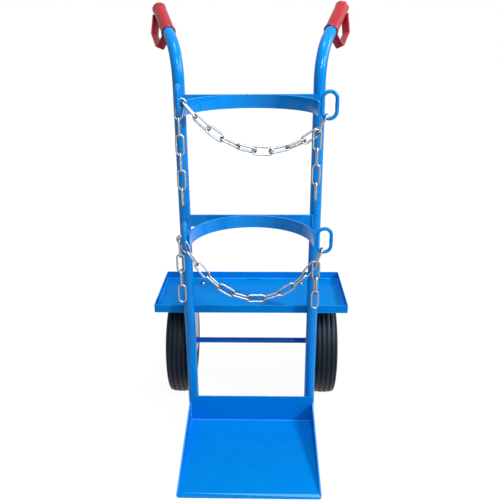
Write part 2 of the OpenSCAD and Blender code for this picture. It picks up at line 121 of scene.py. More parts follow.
class NodeSheet:
    """A node tree with short calls for adding and joining nodes."""

    def __init__(self, tree: NodeTree) -> None:
        """Wraps a tree."""
        self.tree = tree

    @classmethod
    def blank(cls, owner: object) -> "NodeSheet":
        """Empties the nodes of a material or world.

        Args:
            owner: the material or world.

        Returns:
            Its sheet.
        """
        owner.use_nodes = True
        owner.node_tree.nodes.clear()
        return cls(owner.node_tree)

    @staticmethod
    def fill(node: Node, **values: object) -> Node:
        """Sets inputs of a node.

        Args:
            node: the node.
            values: inputs by name with spaces as underscores; a colour needs no alpha.

        Returns:
            The node.
        """
        for key, value in values.items():
            socket = node.inputs[key.replace("_", " ")]
            socket.default_value = (*value, 1.0) if socket.type == "RGBA" and len(value) == 3 else value
        return node

    def add(self, kind: str, **values: object) -> Node:
        """Adds a node.

        Args:
            kind: node type, without the ShaderNode part.
            values: attributes of the node, or inputs as for fill.

        Returns:
            The new node.
        """
        prefix = "" if kind.startswith("NodeGroup") else "ShaderNode"
        node = self.tree.nodes.new(prefix + kind)
        for key, value in values.items():
            if hasattr(node, key):
                setattr(node, key, value)
            else:
                self.fill(node, **{key: value})
        return node

    def join(self, source: NodeSocket, target: NodeSocket) -> None:
        """Links an output to an input."""
        self.tree.links.new(source, target)

    def feed(self, node: Node, index: int, operand: object) -> None:
        """Gives an input a socket, a number or a colour.

        Args:
            node: the node.
            index: number of the input.
            operand: what it gets.
        """
        if isinstance(operand, NodeSocket):
            self.join(operand, node.inputs[index])
        elif isinstance(operand, tuple):
            node.inputs[index].default_value = (*operand, 1.0)
        else:
            node.inputs[index].default_value = float(operand)

    def math(self, operation: str, a: object, b: object = 0.5) -> NodeSocket:
        """Adds a Math node whose operands are sockets or numbers.

        Args:
            operation: the node's operation.
            a: first operand.
            b: second operand.

        Returns:
            Its output.
        """
        node = self.add("Math", operation=operation)
        for index, operand in enumerate((a, b)):
            self.feed(node, index, operand)
        return node.outputs[0]

    def weigh(self, base: float, *terms: tuple[NodeSocket, float]) -> NodeSocket:
        """Adds weighted sockets to a number.

        Args:
            base: the number.
            terms: each socket with its weight.

        Returns:
            The sum.
        """
        parts = [self.math("MULTIPLY", socket, factor) for socket, factor in terms]
        total = parts[0]
        for part in (*parts[1:], base):
            total = self.math("ADD", total, part)
        return total

    def span(self, value: NodeSocket, low: float, high: float, to_low: float = 0.0,
             to_high: float = 1.0) -> NodeSocket:
        """Maps a value from one range to another, clamped.

        Args:
            value: socket to map.
            low: start of its range.
            high: end of its range.
            to_low: result at the start.
            to_high: result at the end.

        Returns:
            The mapped output.
        """
        node = self.add("MapRange")
        for index, operand in enumerate((value, low, high, to_low, to_high)):
            self.feed(node, index, operand)
        return node.outputs[0]

    def blend(self, mask: object, a: object, b: object) -> NodeSocket:
        """Mixes two colours.

        Args:
            mask: 0 to 1, a socket or a number.
            a: colour at 0, a socket or a colour.
            b: colour at 1, a socket or a colour.

        Returns:
            The mixed colour.
        """
        node = self.add("Mix", data_type="RGBA")
        for index, operand in ((0, mask), (6, a), (7, b)):
            self.feed(node, index, operand)
        return node.outputs[2]

    def texture(self, kind: str, scale: NodeSocket, stretch: Point = (1.0, 1.0, 1.0),
                **values: object) -> Node:
        """Adds a texture on stretched object coordinates.

        Args:
            kind: node type, without the ShaderNodeTex part.
            scale: its scale.
            stretch: scale of each axis.
            values: as for add.

        Returns:
            The texture node.
        """
        mapping = self.add("Mapping", Scale=stretch)
        self.join(self.add("TexCoord").outputs["Object"], mapping.inputs["Vector"])
        node = self.add(f"Tex{kind}", **values)
        self.join(mapping.outputs["Vector"], node.inputs["Vector"])
        self.join(scale, node.inputs["Scale"])
        return node

    def normal_z(self, kind: str) -> NodeSocket:
        """Upward part of a surface normal.

        Args:
            kind: output of the Geometry node.

        Returns:
            The part.
        """
        parts = self.add("SeparateXYZ")
        self.join(self.add("NewGeometry").outputs[kind], parts.inputs[0])
        return parts.outputs[2]


class Effects:
    """Shader node groups that several finishes share, each built once."""

    @staticmethod
    def group(name: str, inputs: Sequence[str], outputs: Sequence[str]) -> tuple[NodeSheet, object, object]:
        """Starts a group.

        Args:
            name: group name.
            inputs: names of its inputs; those that start with Color are colours.
            outputs: names of its outputs, in the same way.

        Returns:
            Its sheet, the sockets that it reads and the sockets that it fills.
        """
        tree = bpy.data.node_groups.new(name, "ShaderNodeTree")
        for way, labels in (("INPUT", inputs), ("OUTPUT", outputs)):
            for label in labels:
                kind = "NodeSocketColor" if label.startswith("Color") else "NodeSocketFloat"
                tree.interface.new_socket(name=label, in_out=way, socket_type=kind)
        sheet = NodeSheet(tree)
        return sheet, sheet.add("NodeGroupInput").outputs, sheet.add("NodeGroupOutput").inputs

    @staticmethod
    @cache
    def cloud() -> NodeTree:
        """Slow drift between two colours, as in sprayed paint or moulded rubber.

        Returns:
            The group.
        """
        sheet, read, write = Effects.group("cloudy colour", ("Scale", "Amount", "Color A", "Color B"),
                                           ("Color", "Mask"))
        noise = sheet.texture("Noise", read["Scale"], Detail=5.0, Roughness=0.55)
        mask = sheet.span(noise.outputs[0], 0.32, 0.68)
        amount = sheet.math("MULTIPLY", mask, read["Amount"])
        sheet.join(sheet.blend(amount, read["Color A"], read["Color B"]), write["Color"])
        sheet.join(mask, write["Mask"])
        return sheet.tree

    @staticmethod
    @cache
    def peel() -> NodeTree:
        """Height of a rippled skin: a coarse ripple with fine grit on it.

        Returns:
            The group.
        """
        sheet, read, write = Effects.group("skin ripple", ("Ripple Scale", "Grit Scale", "Grit"),
                                           ("Height", "Grit Mask"))
        ripple = sheet.texture("Noise", read["Ripple Scale"], Detail=2.0, Roughness=0.5)
        grit = sheet.texture("Noise", read["Grit Scale"], Detail=3.0, Roughness=0.6)
        scaled = sheet.math("MULTIPLY", grit.outputs[0], read["Grit"])
        sheet.join(sheet.math("ADD", ripple.outputs[0], scaled), write["Height"])
        sheet.join(sheet.span(grit.outputs[0], 0.35, 0.7), write["Grit Mask"])
        return sheet.tree

    @staticmethod
    @cache
    def scuff() -> NodeTree:
        """Thin hairline scuffs in two directions and small chips.

        Returns:
            The group.
        """
        sheet, read, write = Effects.group("scuffs", ("Scale", "Amount"), ("Scuffs", "Chips"))
        lines = [sheet.texture("Noise", read["Scale"], stretch, Detail=3.0, Roughness=0.65, Distortion=0.35)
                 for stretch in ((1.0, 14.0, 3.0), (16.0, 1.5, 1.0))]
        both = sheet.math("MAXIMUM", *(sheet.span(line.outputs[0], 0.62, 0.7) for line in lines))
        sheet.join(sheet.math("MULTIPLY", both, read["Amount"]), write["Scuffs"])
        finer = sheet.math("MULTIPLY", read["Scale"], 2.2)
        chip = sheet.texture("Voronoi", finer, feature="DISTANCE_TO_EDGE")
        spots = sheet.span(chip.outputs["Distance"], 0.42, 0.46)
        sheet.join(sheet.math("MULTIPLY", spots, read["Amount"]), write["Chips"])
        return sheet.tree

    @staticmethod
    @cache
    def folds() -> NodeTree:
        """Mask of the rounded folds and rims of a plate, where a painted highlight lightens the paint.

        Returns:
            The group.
        """
        sheet, read, write = Effects.group("fold light", ("Amount",), ("Mask",))
        slant = sheet.math("ABSOLUTE", sheet.normal_z("True Normal"))
        band = sheet.math("MINIMUM", sheet.span(slant, 0.15, 0.4), sheet.span(slant, 0.998, 0.97))
        sheet.join(sheet.math("MULTIPLY", band, read["Amount"]), write["Mask"])
        return sheet.tree

    @staticmethod
    @cache
    def dust() -> NodeTree:
        """Dust that lies on faces that look up, broken up by noise.

        Returns:
            The group.
        """
        sheet, read, write = Effects.group("settled dust", ("Scale", "Amount"), ("Mask",))
        upward = sheet.span(sheet.normal_z("Normal"), 0.2, 1.0)
        noise = sheet.texture("Noise", read["Scale"], Detail=6.0, Roughness=0.65)
        broken = sheet.math("MULTIPLY", upward, sheet.span(noise.outputs[0], 0.4, 0.7))
        sheet.join(sheet.math("MULTIPLY", broken, read["Amount"]), write["Mask"])
        return sheet.tree


@dataclass(frozen=True)
class Finish:
    """Base of the finishes: makes one material and keeps it."""

    label: str
    slot: Slot

    @cache
    def material(self) -> Material:
        """The finish's material, built on first use.

        Returns:
            The material.
        """
        material = bpy.data.materials.new(self.label)
        sheet = NodeSheet.blank(material)
        shader = sheet.add("BsdfPrincipled")
        sheet.join(shader.outputs[0], sheet.add("OutputMaterial").inputs[0])
        self.dress(sheet, shader)
        return material

    def dress(self, sheet: NodeSheet, shader: Node) -> None:
        """Fills the sheet; each finish has its own."""
        raise NotImplementedError

    @staticmethod
    def effect(sheet: NodeSheet, tree: NodeTree, **values: object) -> object:
        """Places a shared effect.

        Args:
            sheet: the material's sheet.
            tree: the effect's group.
            values: its inputs, as for NodeSheet.fill.

        Returns:
            The sockets that it gives.
        """
        node = sheet.add("Group")
        node.node_tree = tree
        return sheet.fill(node, **values).outputs

    def skin(self, sheet: NodeSheet, shader: Node, grain: Point, strength: float,
             height: float) -> NodeSocket:
        """Gives the shader a rippled skin.

        Args:
            sheet: the material's sheet.
            shader: its shader node.
            grain: ripple scale, grit scale and share of grit.
            strength: bump strength.
            height: height of one unit, in metres.

        Returns:
            The mask of the grit.
        """
        ripple, grit, share = grain
        peel = self.effect(sheet, Effects.peel(), Ripple_Scale=ripple, Grit_Scale=grit, Grit=share)
        node = sheet.add("Bump", Strength=strength, Distance=height)
        sheet.join(peel["Height"], node.inputs["Height"])
        sheet.join(node.outputs[0], shader.inputs["Normal"])
        return peel["Grit Mask"]


@dataclass(frozen=True)
class PaintFinish(Finish):
    """Glossy sprayed paint over steel."""

    deep: Rgb = (0.0, 0.240, 0.75)
    bright: Rgb = (0.001, 0.285, 0.84)
    # Colour of the painted highlight laid on rounded folds and rims.
    fold_highlight: Rgb = (0.14, 0.56, 1.0)
    dust_colour: Rgb = (0.45, 0.5, 0.58)
    roughness: float = 0.24
    coat: float = 0.22
    gloss: float = 0.12
    ripple: float = 260.0
    relief: float = 0.12
    dust: float = 0.006
    drift: float = 0.6
    # Amount of the painted highlight on folds and rims.
    fold: float = 0.0

    def dress(self, sheet: NodeSheet, shader: Node) -> None:
        """Cloudy blue under a coat with orange peel, a few scuffs and dust, and a painted highlight on the
        folds.

        Args:
            sheet: the material's sheet.
            shader: its shader node.
        """
        sheet.fill(shader, Coat_Roughness=0.03, Coat_Weight=self.coat, Specular_IOR_Level=self.gloss,
                   Specular_Tint=(0.02, 0.42, 1.0))
        cloud = self.effect(sheet, Effects.cloud(), Scale=7.0, Amount=self.drift, Color_A=self.deep,
                            Color_B=self.bright)
        fold = self.effect(sheet, Effects.folds(), Amount=self.fold)
        scuff = self.effect(sheet, Effects.scuff(), Scale=26.0, Amount=0.35)
        dust = self.effect(sheet, Effects.dust(), Scale=30.0, Amount=self.dust)
        worn = sheet.blend(scuff["Chips"], cloud["Color"], tuple(c * 0.75 for c in self.deep))
        # Painted highlight: the fold mask lightens the colour on rounded folds and rims.
        lit = sheet.blend(fold["Mask"], worn, self.fold_highlight)
        sheet.join(sheet.blend(dust["Mask"], lit, self.dust_colour), shader.inputs["Base Color"])
        rough = sheet.weigh(self.roughness, (scuff["Scuffs"], 0.45), (dust["Mask"], 0.8),
                            (cloud["Mask"], 0.05))
        sheet.join(rough, shader.inputs["Roughness"])
        self.skin(sheet, shader, (self.ripple, 1400.0, 0.15), self.relief, 0.0006)


@dataclass(frozen=True)
class ZincFinish(Finish):
    """Bright zinc plating."""

    light: Rgb = (0.42, 0.46, 0.51)
    dark: Rgb = (0.29, 0.33, 0.375)
    # Colour of the painted shade at the outline.
    edge: Rgb = (0.04, 0.050, 0.066)
    roughness: float = 0.40

    def dress(self, sheet: NodeSheet, shader: Node) -> None:
        """Spangled metal with painted shade that darkens it towards its outline, with brushed scuffs.

        Args:
            sheet: the material's sheet.
            shader: its shader node.
        """
        sheet.fill(shader, Metallic=1.0)
        cloud = self.effect(sheet, Effects.cloud(), Scale=90.0, Amount=0.55, Color_A=self.light,
                            Color_B=self.dark)
        scuff = self.effect(sheet, Effects.scuff(), Scale=120.0, Amount=0.6)
        # Painted shade: the colour darkens towards edge as the surface turns away from the camera.
        rim = sheet.span(sheet.add("LayerWeight", Blend=0.5).outputs["Facing"], 0.12, 0.62)
        sheet.join(sheet.blend(rim, cloud["Color"], self.edge), shader.inputs["Base Color"])
        grit = self.skin(sheet, shader, (700.0, 2600.0, 0.5), 0.05, 0.0002)
        rough = sheet.weigh(self.roughness, (scuff["Scuffs"], 0.1), (grit, 0.05))
        sheet.join(rough, shader.inputs["Roughness"])


@dataclass(frozen=True)
class MouldedFinish(Finish):
    """Vinyl, rubber or nylon: a cloudy colour under a grained skin."""

    body: Rgb
    shade: Rgb
    drift: tuple[float, float]
    grain: Point
    relief: tuple[float, float]
    roughness: float
    grit: float
    scuff: float = 0.0
    dust: float = 0.0
    dust_colour: Rgb = (0.16, 0.15, 0.14)
    sheen: dict[str, object] = field(default_factory=dict, hash=False)

    def dress(self, sheet: NodeSheet, shader: Node) -> None:
        """Two colours, dust if any, grain and scuffs if any.

        Args:
            sheet: the material's sheet.
            shader: its shader node.
        """
        sheet.fill(shader, **self.sheen)
        scale, amount = self.drift
        colour = self.effect(sheet, Effects.cloud(), Scale=scale, Amount=amount, Color_A=self.body,
                             Color_B=self.shade)["Color"]
        if self.dust:
            dust = self.effect(sheet, Effects.dust(), Scale=40.0, Amount=self.dust)
            colour = sheet.blend(dust["Mask"], colour, self.dust_colour)
        sheet.join(colour, shader.inputs["Base Color"])
        terms = [(self.skin(sheet, shader, self.grain, *self.relief), self.grit)]
        if self.scuff:
            scuff = self.effect(sheet, Effects.scuff(), Scale=45.0, Amount=0.5)
            terms.append((scuff["Scuffs"], self.scuff))
        sheet.join(sheet.weigh(self.roughness, *terms), shader.inputs["Roughness"])


FRAME_PAINT = PaintFinish("frame paint", Slot.FRAME)
# Near-black blue for strips in the tray's slots: painted shade where the slot's far wall lies in shadow.
SLOT_SHADE_PAINT = PaintFinish(
    "slot edge paint", Slot.PLATE, deep=(0.0, 0.028, 0.10), bright=(0.0, 0.035, 0.13), coat=0.0, gloss=0.0)
# The plate paint carries a painted highlight on its folds and rims (fold=0.7).
PLATE_PAINT = PaintFinish(
    "plate paint", Slot.PLATE, roughness=0.10, coat=0.02, gloss=0.012, ripple=180.0, relief=0.06,
    drift=0.15, fold=0.7)
RUNNING_PAINT = PaintFinish(
    "running gear paint", Slot.RUNNING, deep=(0.008, 0.22, 0.85), bright=(0.012, 0.26, 0.92), coat=0.3)
CHAIN_ZINC = ZincFinish("chain zinc", Slot.CHAIN)
BOLT_ZINC = ZincFinish(
    "bolt zinc", Slot.BOLT, light=(0.70, 0.71, 0.72), dark=(0.45, 0.45, 0.46), roughness=0.3)
GRIP_VINYL = MouldedFinish(
    "grip vinyl", Slot.GRIP, body=(0.44, 0.008, 0.020), shade=(0.33, 0.005, 0.014), drift=(18.0, 0.6),
    grain=(520.0, 2400.0, 0.6), relief=(0.35, 0.0005), roughness=0.33, grit=0.12, scuff=0.2,
    sheen={"Sheen_Weight": 0.01, "Sheen_Roughness": 0.4, "Specular_IOR_Level": 0.2, "Coat_Weight": 0.4,
           "Coat_Roughness": 0.1})
TYRE_RUBBER = MouldedFinish(
    "tyre rubber", Slot.TYRE, body=(0.005, 0.007, 0.010), shade=(0.011, 0.014, 0.019), drift=(14.0, 0.7),
    grain=(420.0, 1900.0, 0.8), relief=(0.4, 0.0006), roughness=0.42, grit=0.18, dust=0.10,
    sheen={"Specular_IOR_Level": 0.3, "Specular_Tint": (0.55, 0.75, 1.0)})
BUSH_NYLON = MouldedFinish(
    "bush nylon", Slot.BUSH, body=(0.70, 0.70, 0.66), shade=(0.50, 0.50, 0.46), drift=(60.0, 0.5),
    grain=(900.0, 3000.0, 0.4), relief=(0.2, 0.0004), roughness=0.4, grit=0.15)


# ---------------------------------------------------------------- mesh work


def shift(x: float, y: float, z: float) -> Matrix:
    """A move."""
    return Matrix.Translation((x, y, z))


def spin(degrees: float, axis: object) -> Matrix:
    """A turn about an axis, given by its letter or its direction."""
    return Matrix.Rotation(math.radians(degrees), 4, axis)


def verts_of(made: Iterable[object]) -> list[BMVert]:
    """The vertices among what an operator made."""
    return [item for item in made if isinstance(item, BMVert)]


def fold_edges(mesh: BMesh) -> list[BMEdge]:
    """Edges of a sheet that two faces share."""
    return [edge for edge in mesh.edges if len(edge.link_faces) == 2]


def round_off(mesh: BMesh, geom: list, offset: float, segments: int, affect: str = "EDGES") -> None:
    """Bevels edges or corners with an even curve."""
    bmesh.ops.bevel(mesh, geom=geom, offset=offset, segments=segments, profile=0.5, affect=affect,
                    material=-1)


class Sweep:
    """Carries a face along straights and turns and leaves a solid behind it."""

    def __init__(self, mesh: BMesh, face: BMFace) -> None:
        """Starts at a face."""
        self.mesh = mesh
        self.face = face

    def step(self, matrix: Matrix) -> "Sweep":
        """Extrudes the profile and moves its copy by a matrix.

        Args:
            matrix: move of the new profile.

        Returns:
            This sweep.
        """
        made = bmesh.ops.extrude_face_region(self.mesh, geom=[self.face])["geom"]
        bmesh.ops.transform(self.mesh, matrix=matrix, verts=verts_of(made))
        self.face = next(f for f in made if isinstance(f, BMFace))
        return self

    def straight(self, way: Vector, steps: int = 1) -> "Sweep":
        """Carries the profile along a line.

        Args:
            way: whole move.
            steps: number of rings.

        Returns:
            This sweep.
        """
        for _ in range(steps):
            self.step(Matrix.Translation(way / steps))
        return self

    def turn(self, centre: Vector, axis: Vector, angle: float, steps: int) -> "Sweep":
        """Carries the profile round an axis.

        Args:
            centre: a point of the axis.
            axis: its direction.
            angle: whole turn in degrees.
            steps: number of rings.

        Returns:
            This sweep.
        """
        move = Matrix.Translation(centre) @ spin(angle / steps, axis) @ Matrix.Translation(-centre)
        for _ in range(steps):
            self.step(move)
        return self

    def swell(self, factor: float, way: Vector) -> "Sweep":
        """Carries the profile along a line while it grows about its own middle.

        Args:
            factor: growth of the profile.
            way: move of the profile.

        Returns:
            This sweep.
        """
        middle = self.face.calc_center_median()
        grow = Matrix.Translation(middle) @ Matrix.Scale(factor, 4) @ Matrix.Translation(-middle)
        return self.step(Matrix.Translation(way) @ grow)

    def close(self, start: BMFace) -> None:
        """Joins the end of the sweep to its start, where both lie on each other."""
        bmesh.ops.delete(self.mesh, geom=[start, self.face], context="FACES_ONLY")
        bmesh.ops.remove_doubles(self.mesh, verts=self.mesh.verts, dist=0.01)


class Stock:
    """Profiles, solids and sheets that the sub-assemblies start from."""

    @staticmethod
    def disc(mesh: BMesh, radius: float, matrix: Matrix, around: int) -> BMFace:
        """A round face."""
        made = bmesh.ops.create_circle(mesh, cap_ends=True, radius=radius, segments=around, matrix=matrix)
        return made["verts"][0].link_faces[0]

    @staticmethod
    def plate(mesh: BMesh, wide: float, high: float, matrix: Matrix) -> BMFace:
        """A rectangular face on XY, centred.

        Args:
            mesh: mesh to add to.
            wide: size along X.
            high: size along Y.
            matrix: its place.

        Returns:
            The face.
        """
        size = Matrix.Diagonal((wide, high, 1.0, 1.0))
        made = bmesh.ops.create_grid(mesh, x_segments=1, y_segments=1, size=0.5, matrix=matrix @ size)
        return made["verts"][0].link_faces[0]

    @staticmethod
    def soften(mesh: BMesh, offset: float, segments: int = 2, sharper: float = 40.0) -> None:
        """Rounds every edge sharper than an angle.

        Args:
            mesh: mesh to work on.
            offset: width of the rounding.
            segments: facets of the rounding.
            sharper: least angle in degrees.
        """
        edges = [e for e in mesh.edges
                 if len(e.link_faces) == 2 and e.calc_face_angle(0.0) > math.radians(sharper)]
        bmesh.ops.bevel(mesh, geom=edges, offset=offset, segments=segments, profile=0.5, affect="EDGES",
                        material=-1, clamp_overlap=True)

    @staticmethod
    def oval(mesh: BMesh, half: float, bend: float, rod: float, around: int, arc: int,
             seam: float, matrix: Matrix) -> None:
        """A link or ring bent from rod, its length along Z, with a welded seam on one leg.

        Args:
            mesh: mesh to add to.
            half: half its centre line length.
            bend: centre line radius of its ends.
            rod: rod diameter.
            around: sides of the rod.
            arc: rings in each end.
            seam: swelling of the weld.
            matrix: its place.
        """
        part = bmesh.new()
        leg = half - bend
        start = Stock.disc(part, rod / 2, shift(bend, 0.0, -leg), around)
        sweep = Sweep(part, start)
        run = 2 * leg
        rise, fall = 1 + seam * 0.75, 1 + seam * 0.7
        sweep.straight(Z * (run * 0.5 - rod * 0.55), 2)
        for factor, way in ((rise, 0.22), ((1 + seam) / rise, 0.22), (0.97, 0.10), (1 / 0.97, 0.12),
                            (fall / (1 + seam), 0.22), (1 / fall, 0.22)):
            sweep.swell(factor, Z * (rod * way))
        sweep.straight(Z * (run * 0.5 - rod * 0.55), 2)
        sweep.turn(Z * leg, Y, -180.0, arc)
        sweep.straight(Z * -run, 4)
        sweep.turn(Z * -leg, Y, -180.0, arc)
        sweep.close(start)
        Stock.add(mesh, part, matrix)

    @staticmethod
    def add(mesh: BMesh, part: BMesh, matrix: Matrix = Matrix.Identity(4)) -> None:
        """Moves one mesh into another.

        Args:
            mesh: mesh that receives.
            part: mesh that is used up.
            matrix: place of the part.
        """
        bmesh.ops.transform(part, matrix=matrix, verts=part.verts)
        bmesh.ops.recalc_face_normals(part, faces=part.faces)
        carrier = bpy.data.meshes.new("carrier")
        part.to_mesh(carrier)
        part.free()
        mesh.from_mesh(carrier)
        bpy.data.meshes.remove(carrier)

    @staticmethod
    def revolve(mesh: BMesh, outline: Sequence[tuple[float, float]], matrix: Matrix, around: int,
                closed: bool = True) -> None:
        """Turns an outline of (radius, along) points round the Z axis.

        Args:
            mesh: mesh to add to.
            outline: points of the profile.
            matrix: place of the turned shape.
            around: steps of the full turn.
            closed: joins the last point to the first.
        """
        part = bmesh.new()
        verts = [part.verts.new((r, 0.0, z)) for r, z in outline]
        pairs = list(zip(verts, verts[1:]))
        if closed:
            pairs.append((verts[-1], verts[0]))
        edges = [part.edges.new(pair) for pair in pairs]
        bmesh.ops.spin(part, geom=verts + edges, cent=(0, 0, 0), axis=(0, 0, 1), angle=math.tau,
                       steps=around, use_merge=True)
        bmesh.ops.remove_doubles(part, verts=part.verts, dist=0.005)
        Stock.add(mesh, part, matrix)

    @staticmethod
    def bead(mesh: BMesh, points: Sequence[Point], radius: float, pitch: float = 2.2) -> None:
        """A weld bead of overlapping ripples along a line of points.

        Args:
            mesh: mesh to add to.
            points: line of the weld.
            radius: size of a ripple.
            pitch: distance between ripples.
        """
        count = 0
        squash = Matrix.Diagonal((1.0, 1.0, 0.7, 1.0))
        for start, end in zip(map(Vector, points), map(Vector, points[1:])):
            way = end - start
            steps = max(1, int(way.length / pitch))
            aim = way.to_track_quat("Z", "Y").to_matrix().to_4x4()
            for index in range(steps):
                wobble = 1.0 + 0.12 * math.sin(count * 2.7) + 0.06 * math.sin(count * 5.1)
                place = Matrix.Translation(start + way * (index / steps)) @ aim @ squash
                bmesh.ops.create_icosphere(mesh, subdivisions=2, radius=radius * wobble, matrix=place)
                count += 1

    @staticmethod
    def seam(mesh: BMesh, start: Point, way: Point, radius: float) -> None:
        """A straight weld bead."""
        Stock.bead(mesh, [start, tuple(a + b for a, b in zip(start, way))], radius)


def put_in_scene(name: str, data: object) -> Object:
    """Makes an object of a mesh, lamp or camera.

    Args:
        name: its name.
        data: its data.

    Returns:
        The object.
    """
    item = bpy.data.objects.new(name, data)
    bpy.context.scene.collection.objects.link(item)
    return item


def make_piece(mesh: BMesh, name: str, body: str, finish: Finish, replaces: Iterable[str] = (),
               sharp: float = 38.0, outward: Optional[Vector] = None) -> Object:
    """Turns a mesh in millimetres into a piece of the cart.

    Args:
        mesh: the mesh, which is used up.
        name: name of the piece.
        body: body that it rides on.
        finish: its finish.
        replaces: CAD nodes that it stands for.
        sharp: edges over this angle in degrees stay sharp.
        outward: for an open sheet, the way its largest face looks.

    Returns:
        The object.
    """
    bmesh.ops.recalc_face_normals(mesh, faces=mesh.faces)
    if outward is not None and max(mesh.faces, key=lambda f: f.calc_area()).normal.dot(outward) < 0:
        bmesh.ops.reverse_faces(mesh, faces=mesh.faces)
    bmesh.ops.transform(mesh, matrix=TO_METRES, verts=mesh.verts)
    for face in mesh.faces:
        face.smooth = True
    for edge in mesh.edges:
        edge.smooth = len(edge.link_faces) == 2 and edge.calc_face_angle(0.0) < math.radians(sharp)
    data = bpy.data.meshes.new(name)
    mesh.to_mesh(data)
    mesh.free()
    data.materials.append(finish.material())
    piece = put_in_scene(name, data)
    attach(piece, body)
    if replaces:
        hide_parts(*replaces)
    LOG.info("%s on %s: %d faces", name, body, len(data.polygons))
    return piece


def thicken(piece: Object, thickness: float, edge: float = 0.0) -> None:
    """Gives a sheet its thickness, inwards, and softens its edges.

    Args:
        piece: the sheet.
        thickness: its wall, in millimetres.
        edge: rounding of its edges, in millimetres.
    """
    wall = piece.modifiers.new("wall", "SOLIDIFY")
    wall.thickness = thickness / 1000.0
    wall.offset = -1.0
    wall.use_even_offset = True
    if edge:
        soft = piece.modifiers.new("edges", "BEVEL")
        soft.width = edge / 1000.0
        soft.segments = 2
        soft.limit_method = "ANGLE"
        soft.angle_limit = math.radians(50.0)
    flatten(piece)


def flatten(piece: Object) -> None:
    """Keeps the shading of large flat faces flat beside their rounded edges."""
    normals = piece.modifiers.new("normals", "WEIGHTED_NORMAL")
    normals.keep_sharp = True


def dress_node(node: str, finish: Finish) -> None:
    """Gives a CAD node a finish.

    Args:
        node: its name.
        finish: the finish.
    """
    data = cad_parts[node].data
    if not data.materials:
        data.materials.append(None)
    for index in range(len(data.materials)):
        data.materials[index] = finish.material()
    LOG.info("%s wears %s", node, finish.label)


# ---------------------------------------------------------------- sub-assemblies


def handle_frame(side: Side) -> Matrix:
    """Frame at the start of a handle's bend: Z up, X the way that the handle leans.

    Args:
        side: side of the cart.

    Returns:
        The matrix, in millimetres.
    """
    s = SIZES
    place = shift(side.value * s.track / 2, 0.0, s.bend_start)
    return place @ spin(90.0 - side.value * s.splay, "Z")


def grip_frame(side: Side) -> Matrix:
    """Frame at a grip's open end: Z along the grip, X down and forwards.

    Args:
        side: side of the cart.

    Returns:
        The matrix, in millimetres.
    """
    s = SIZES
    bend = shift(s.bend_r, 0, 0) @ spin(s.bend_angle, "Y")
    return handle_frame(side) @ bend @ shift(-s.bend_r, 0, s.neck)


@dataclass
class Uprights:
    """The two bent uprights."""

    around: int = 40
    bend_rings: int = 26
    short_of_tip: float = 8.0
    open_end: float = 60.0

    def build(self) -> None:
        """Bends both tubes."""
        for side in Side:
            self.tube(side)

    def tube(self, side: Side) -> None:
        """One tube: straight, bend and neck, with an open lower end.

        Args:
            side: side of the cart.
        """
        s = SIZES
        mesh = bmesh.new()
        start = Stock.disc(mesh, s.tube_r, shift(0, 0, -s.bend_start), self.around)
        sweep = Sweep(mesh, start)
        sweep.straight(Z * s.bend_start, 6)
        sweep.turn(X * s.bend_r, Y, s.bend_angle, self.bend_rings)
        way = Matrix.Rotation(math.radians(s.bend_angle), 3, "Y") @ Z
        sweep.straight(way * (s.neck + s.grip_length - self.short_of_tip), 2)
        bmesh.ops.inset_individual(mesh, faces=[start], thickness=s.tube_wall)
        Sweep(mesh, start).straight(Z * self.open_end, 1)
        rim = [e for e in mesh.edges if all(abs(v.co.z + s.bend_start) < 0.01 for v in e.verts)
               and len(e.link_faces) == 2 and e.calc_face_angle(0.0) > 1.0]
        round_off(mesh, rim, 0.5, 2)
        bmesh.ops.transform(mesh, matrix=handle_frame(side), verts=mesh.verts)
        make_piece(mesh, f"{side.word}_bent_tube", "frame", FRAME_PAINT, [f"{side.word}_upright_tube"])


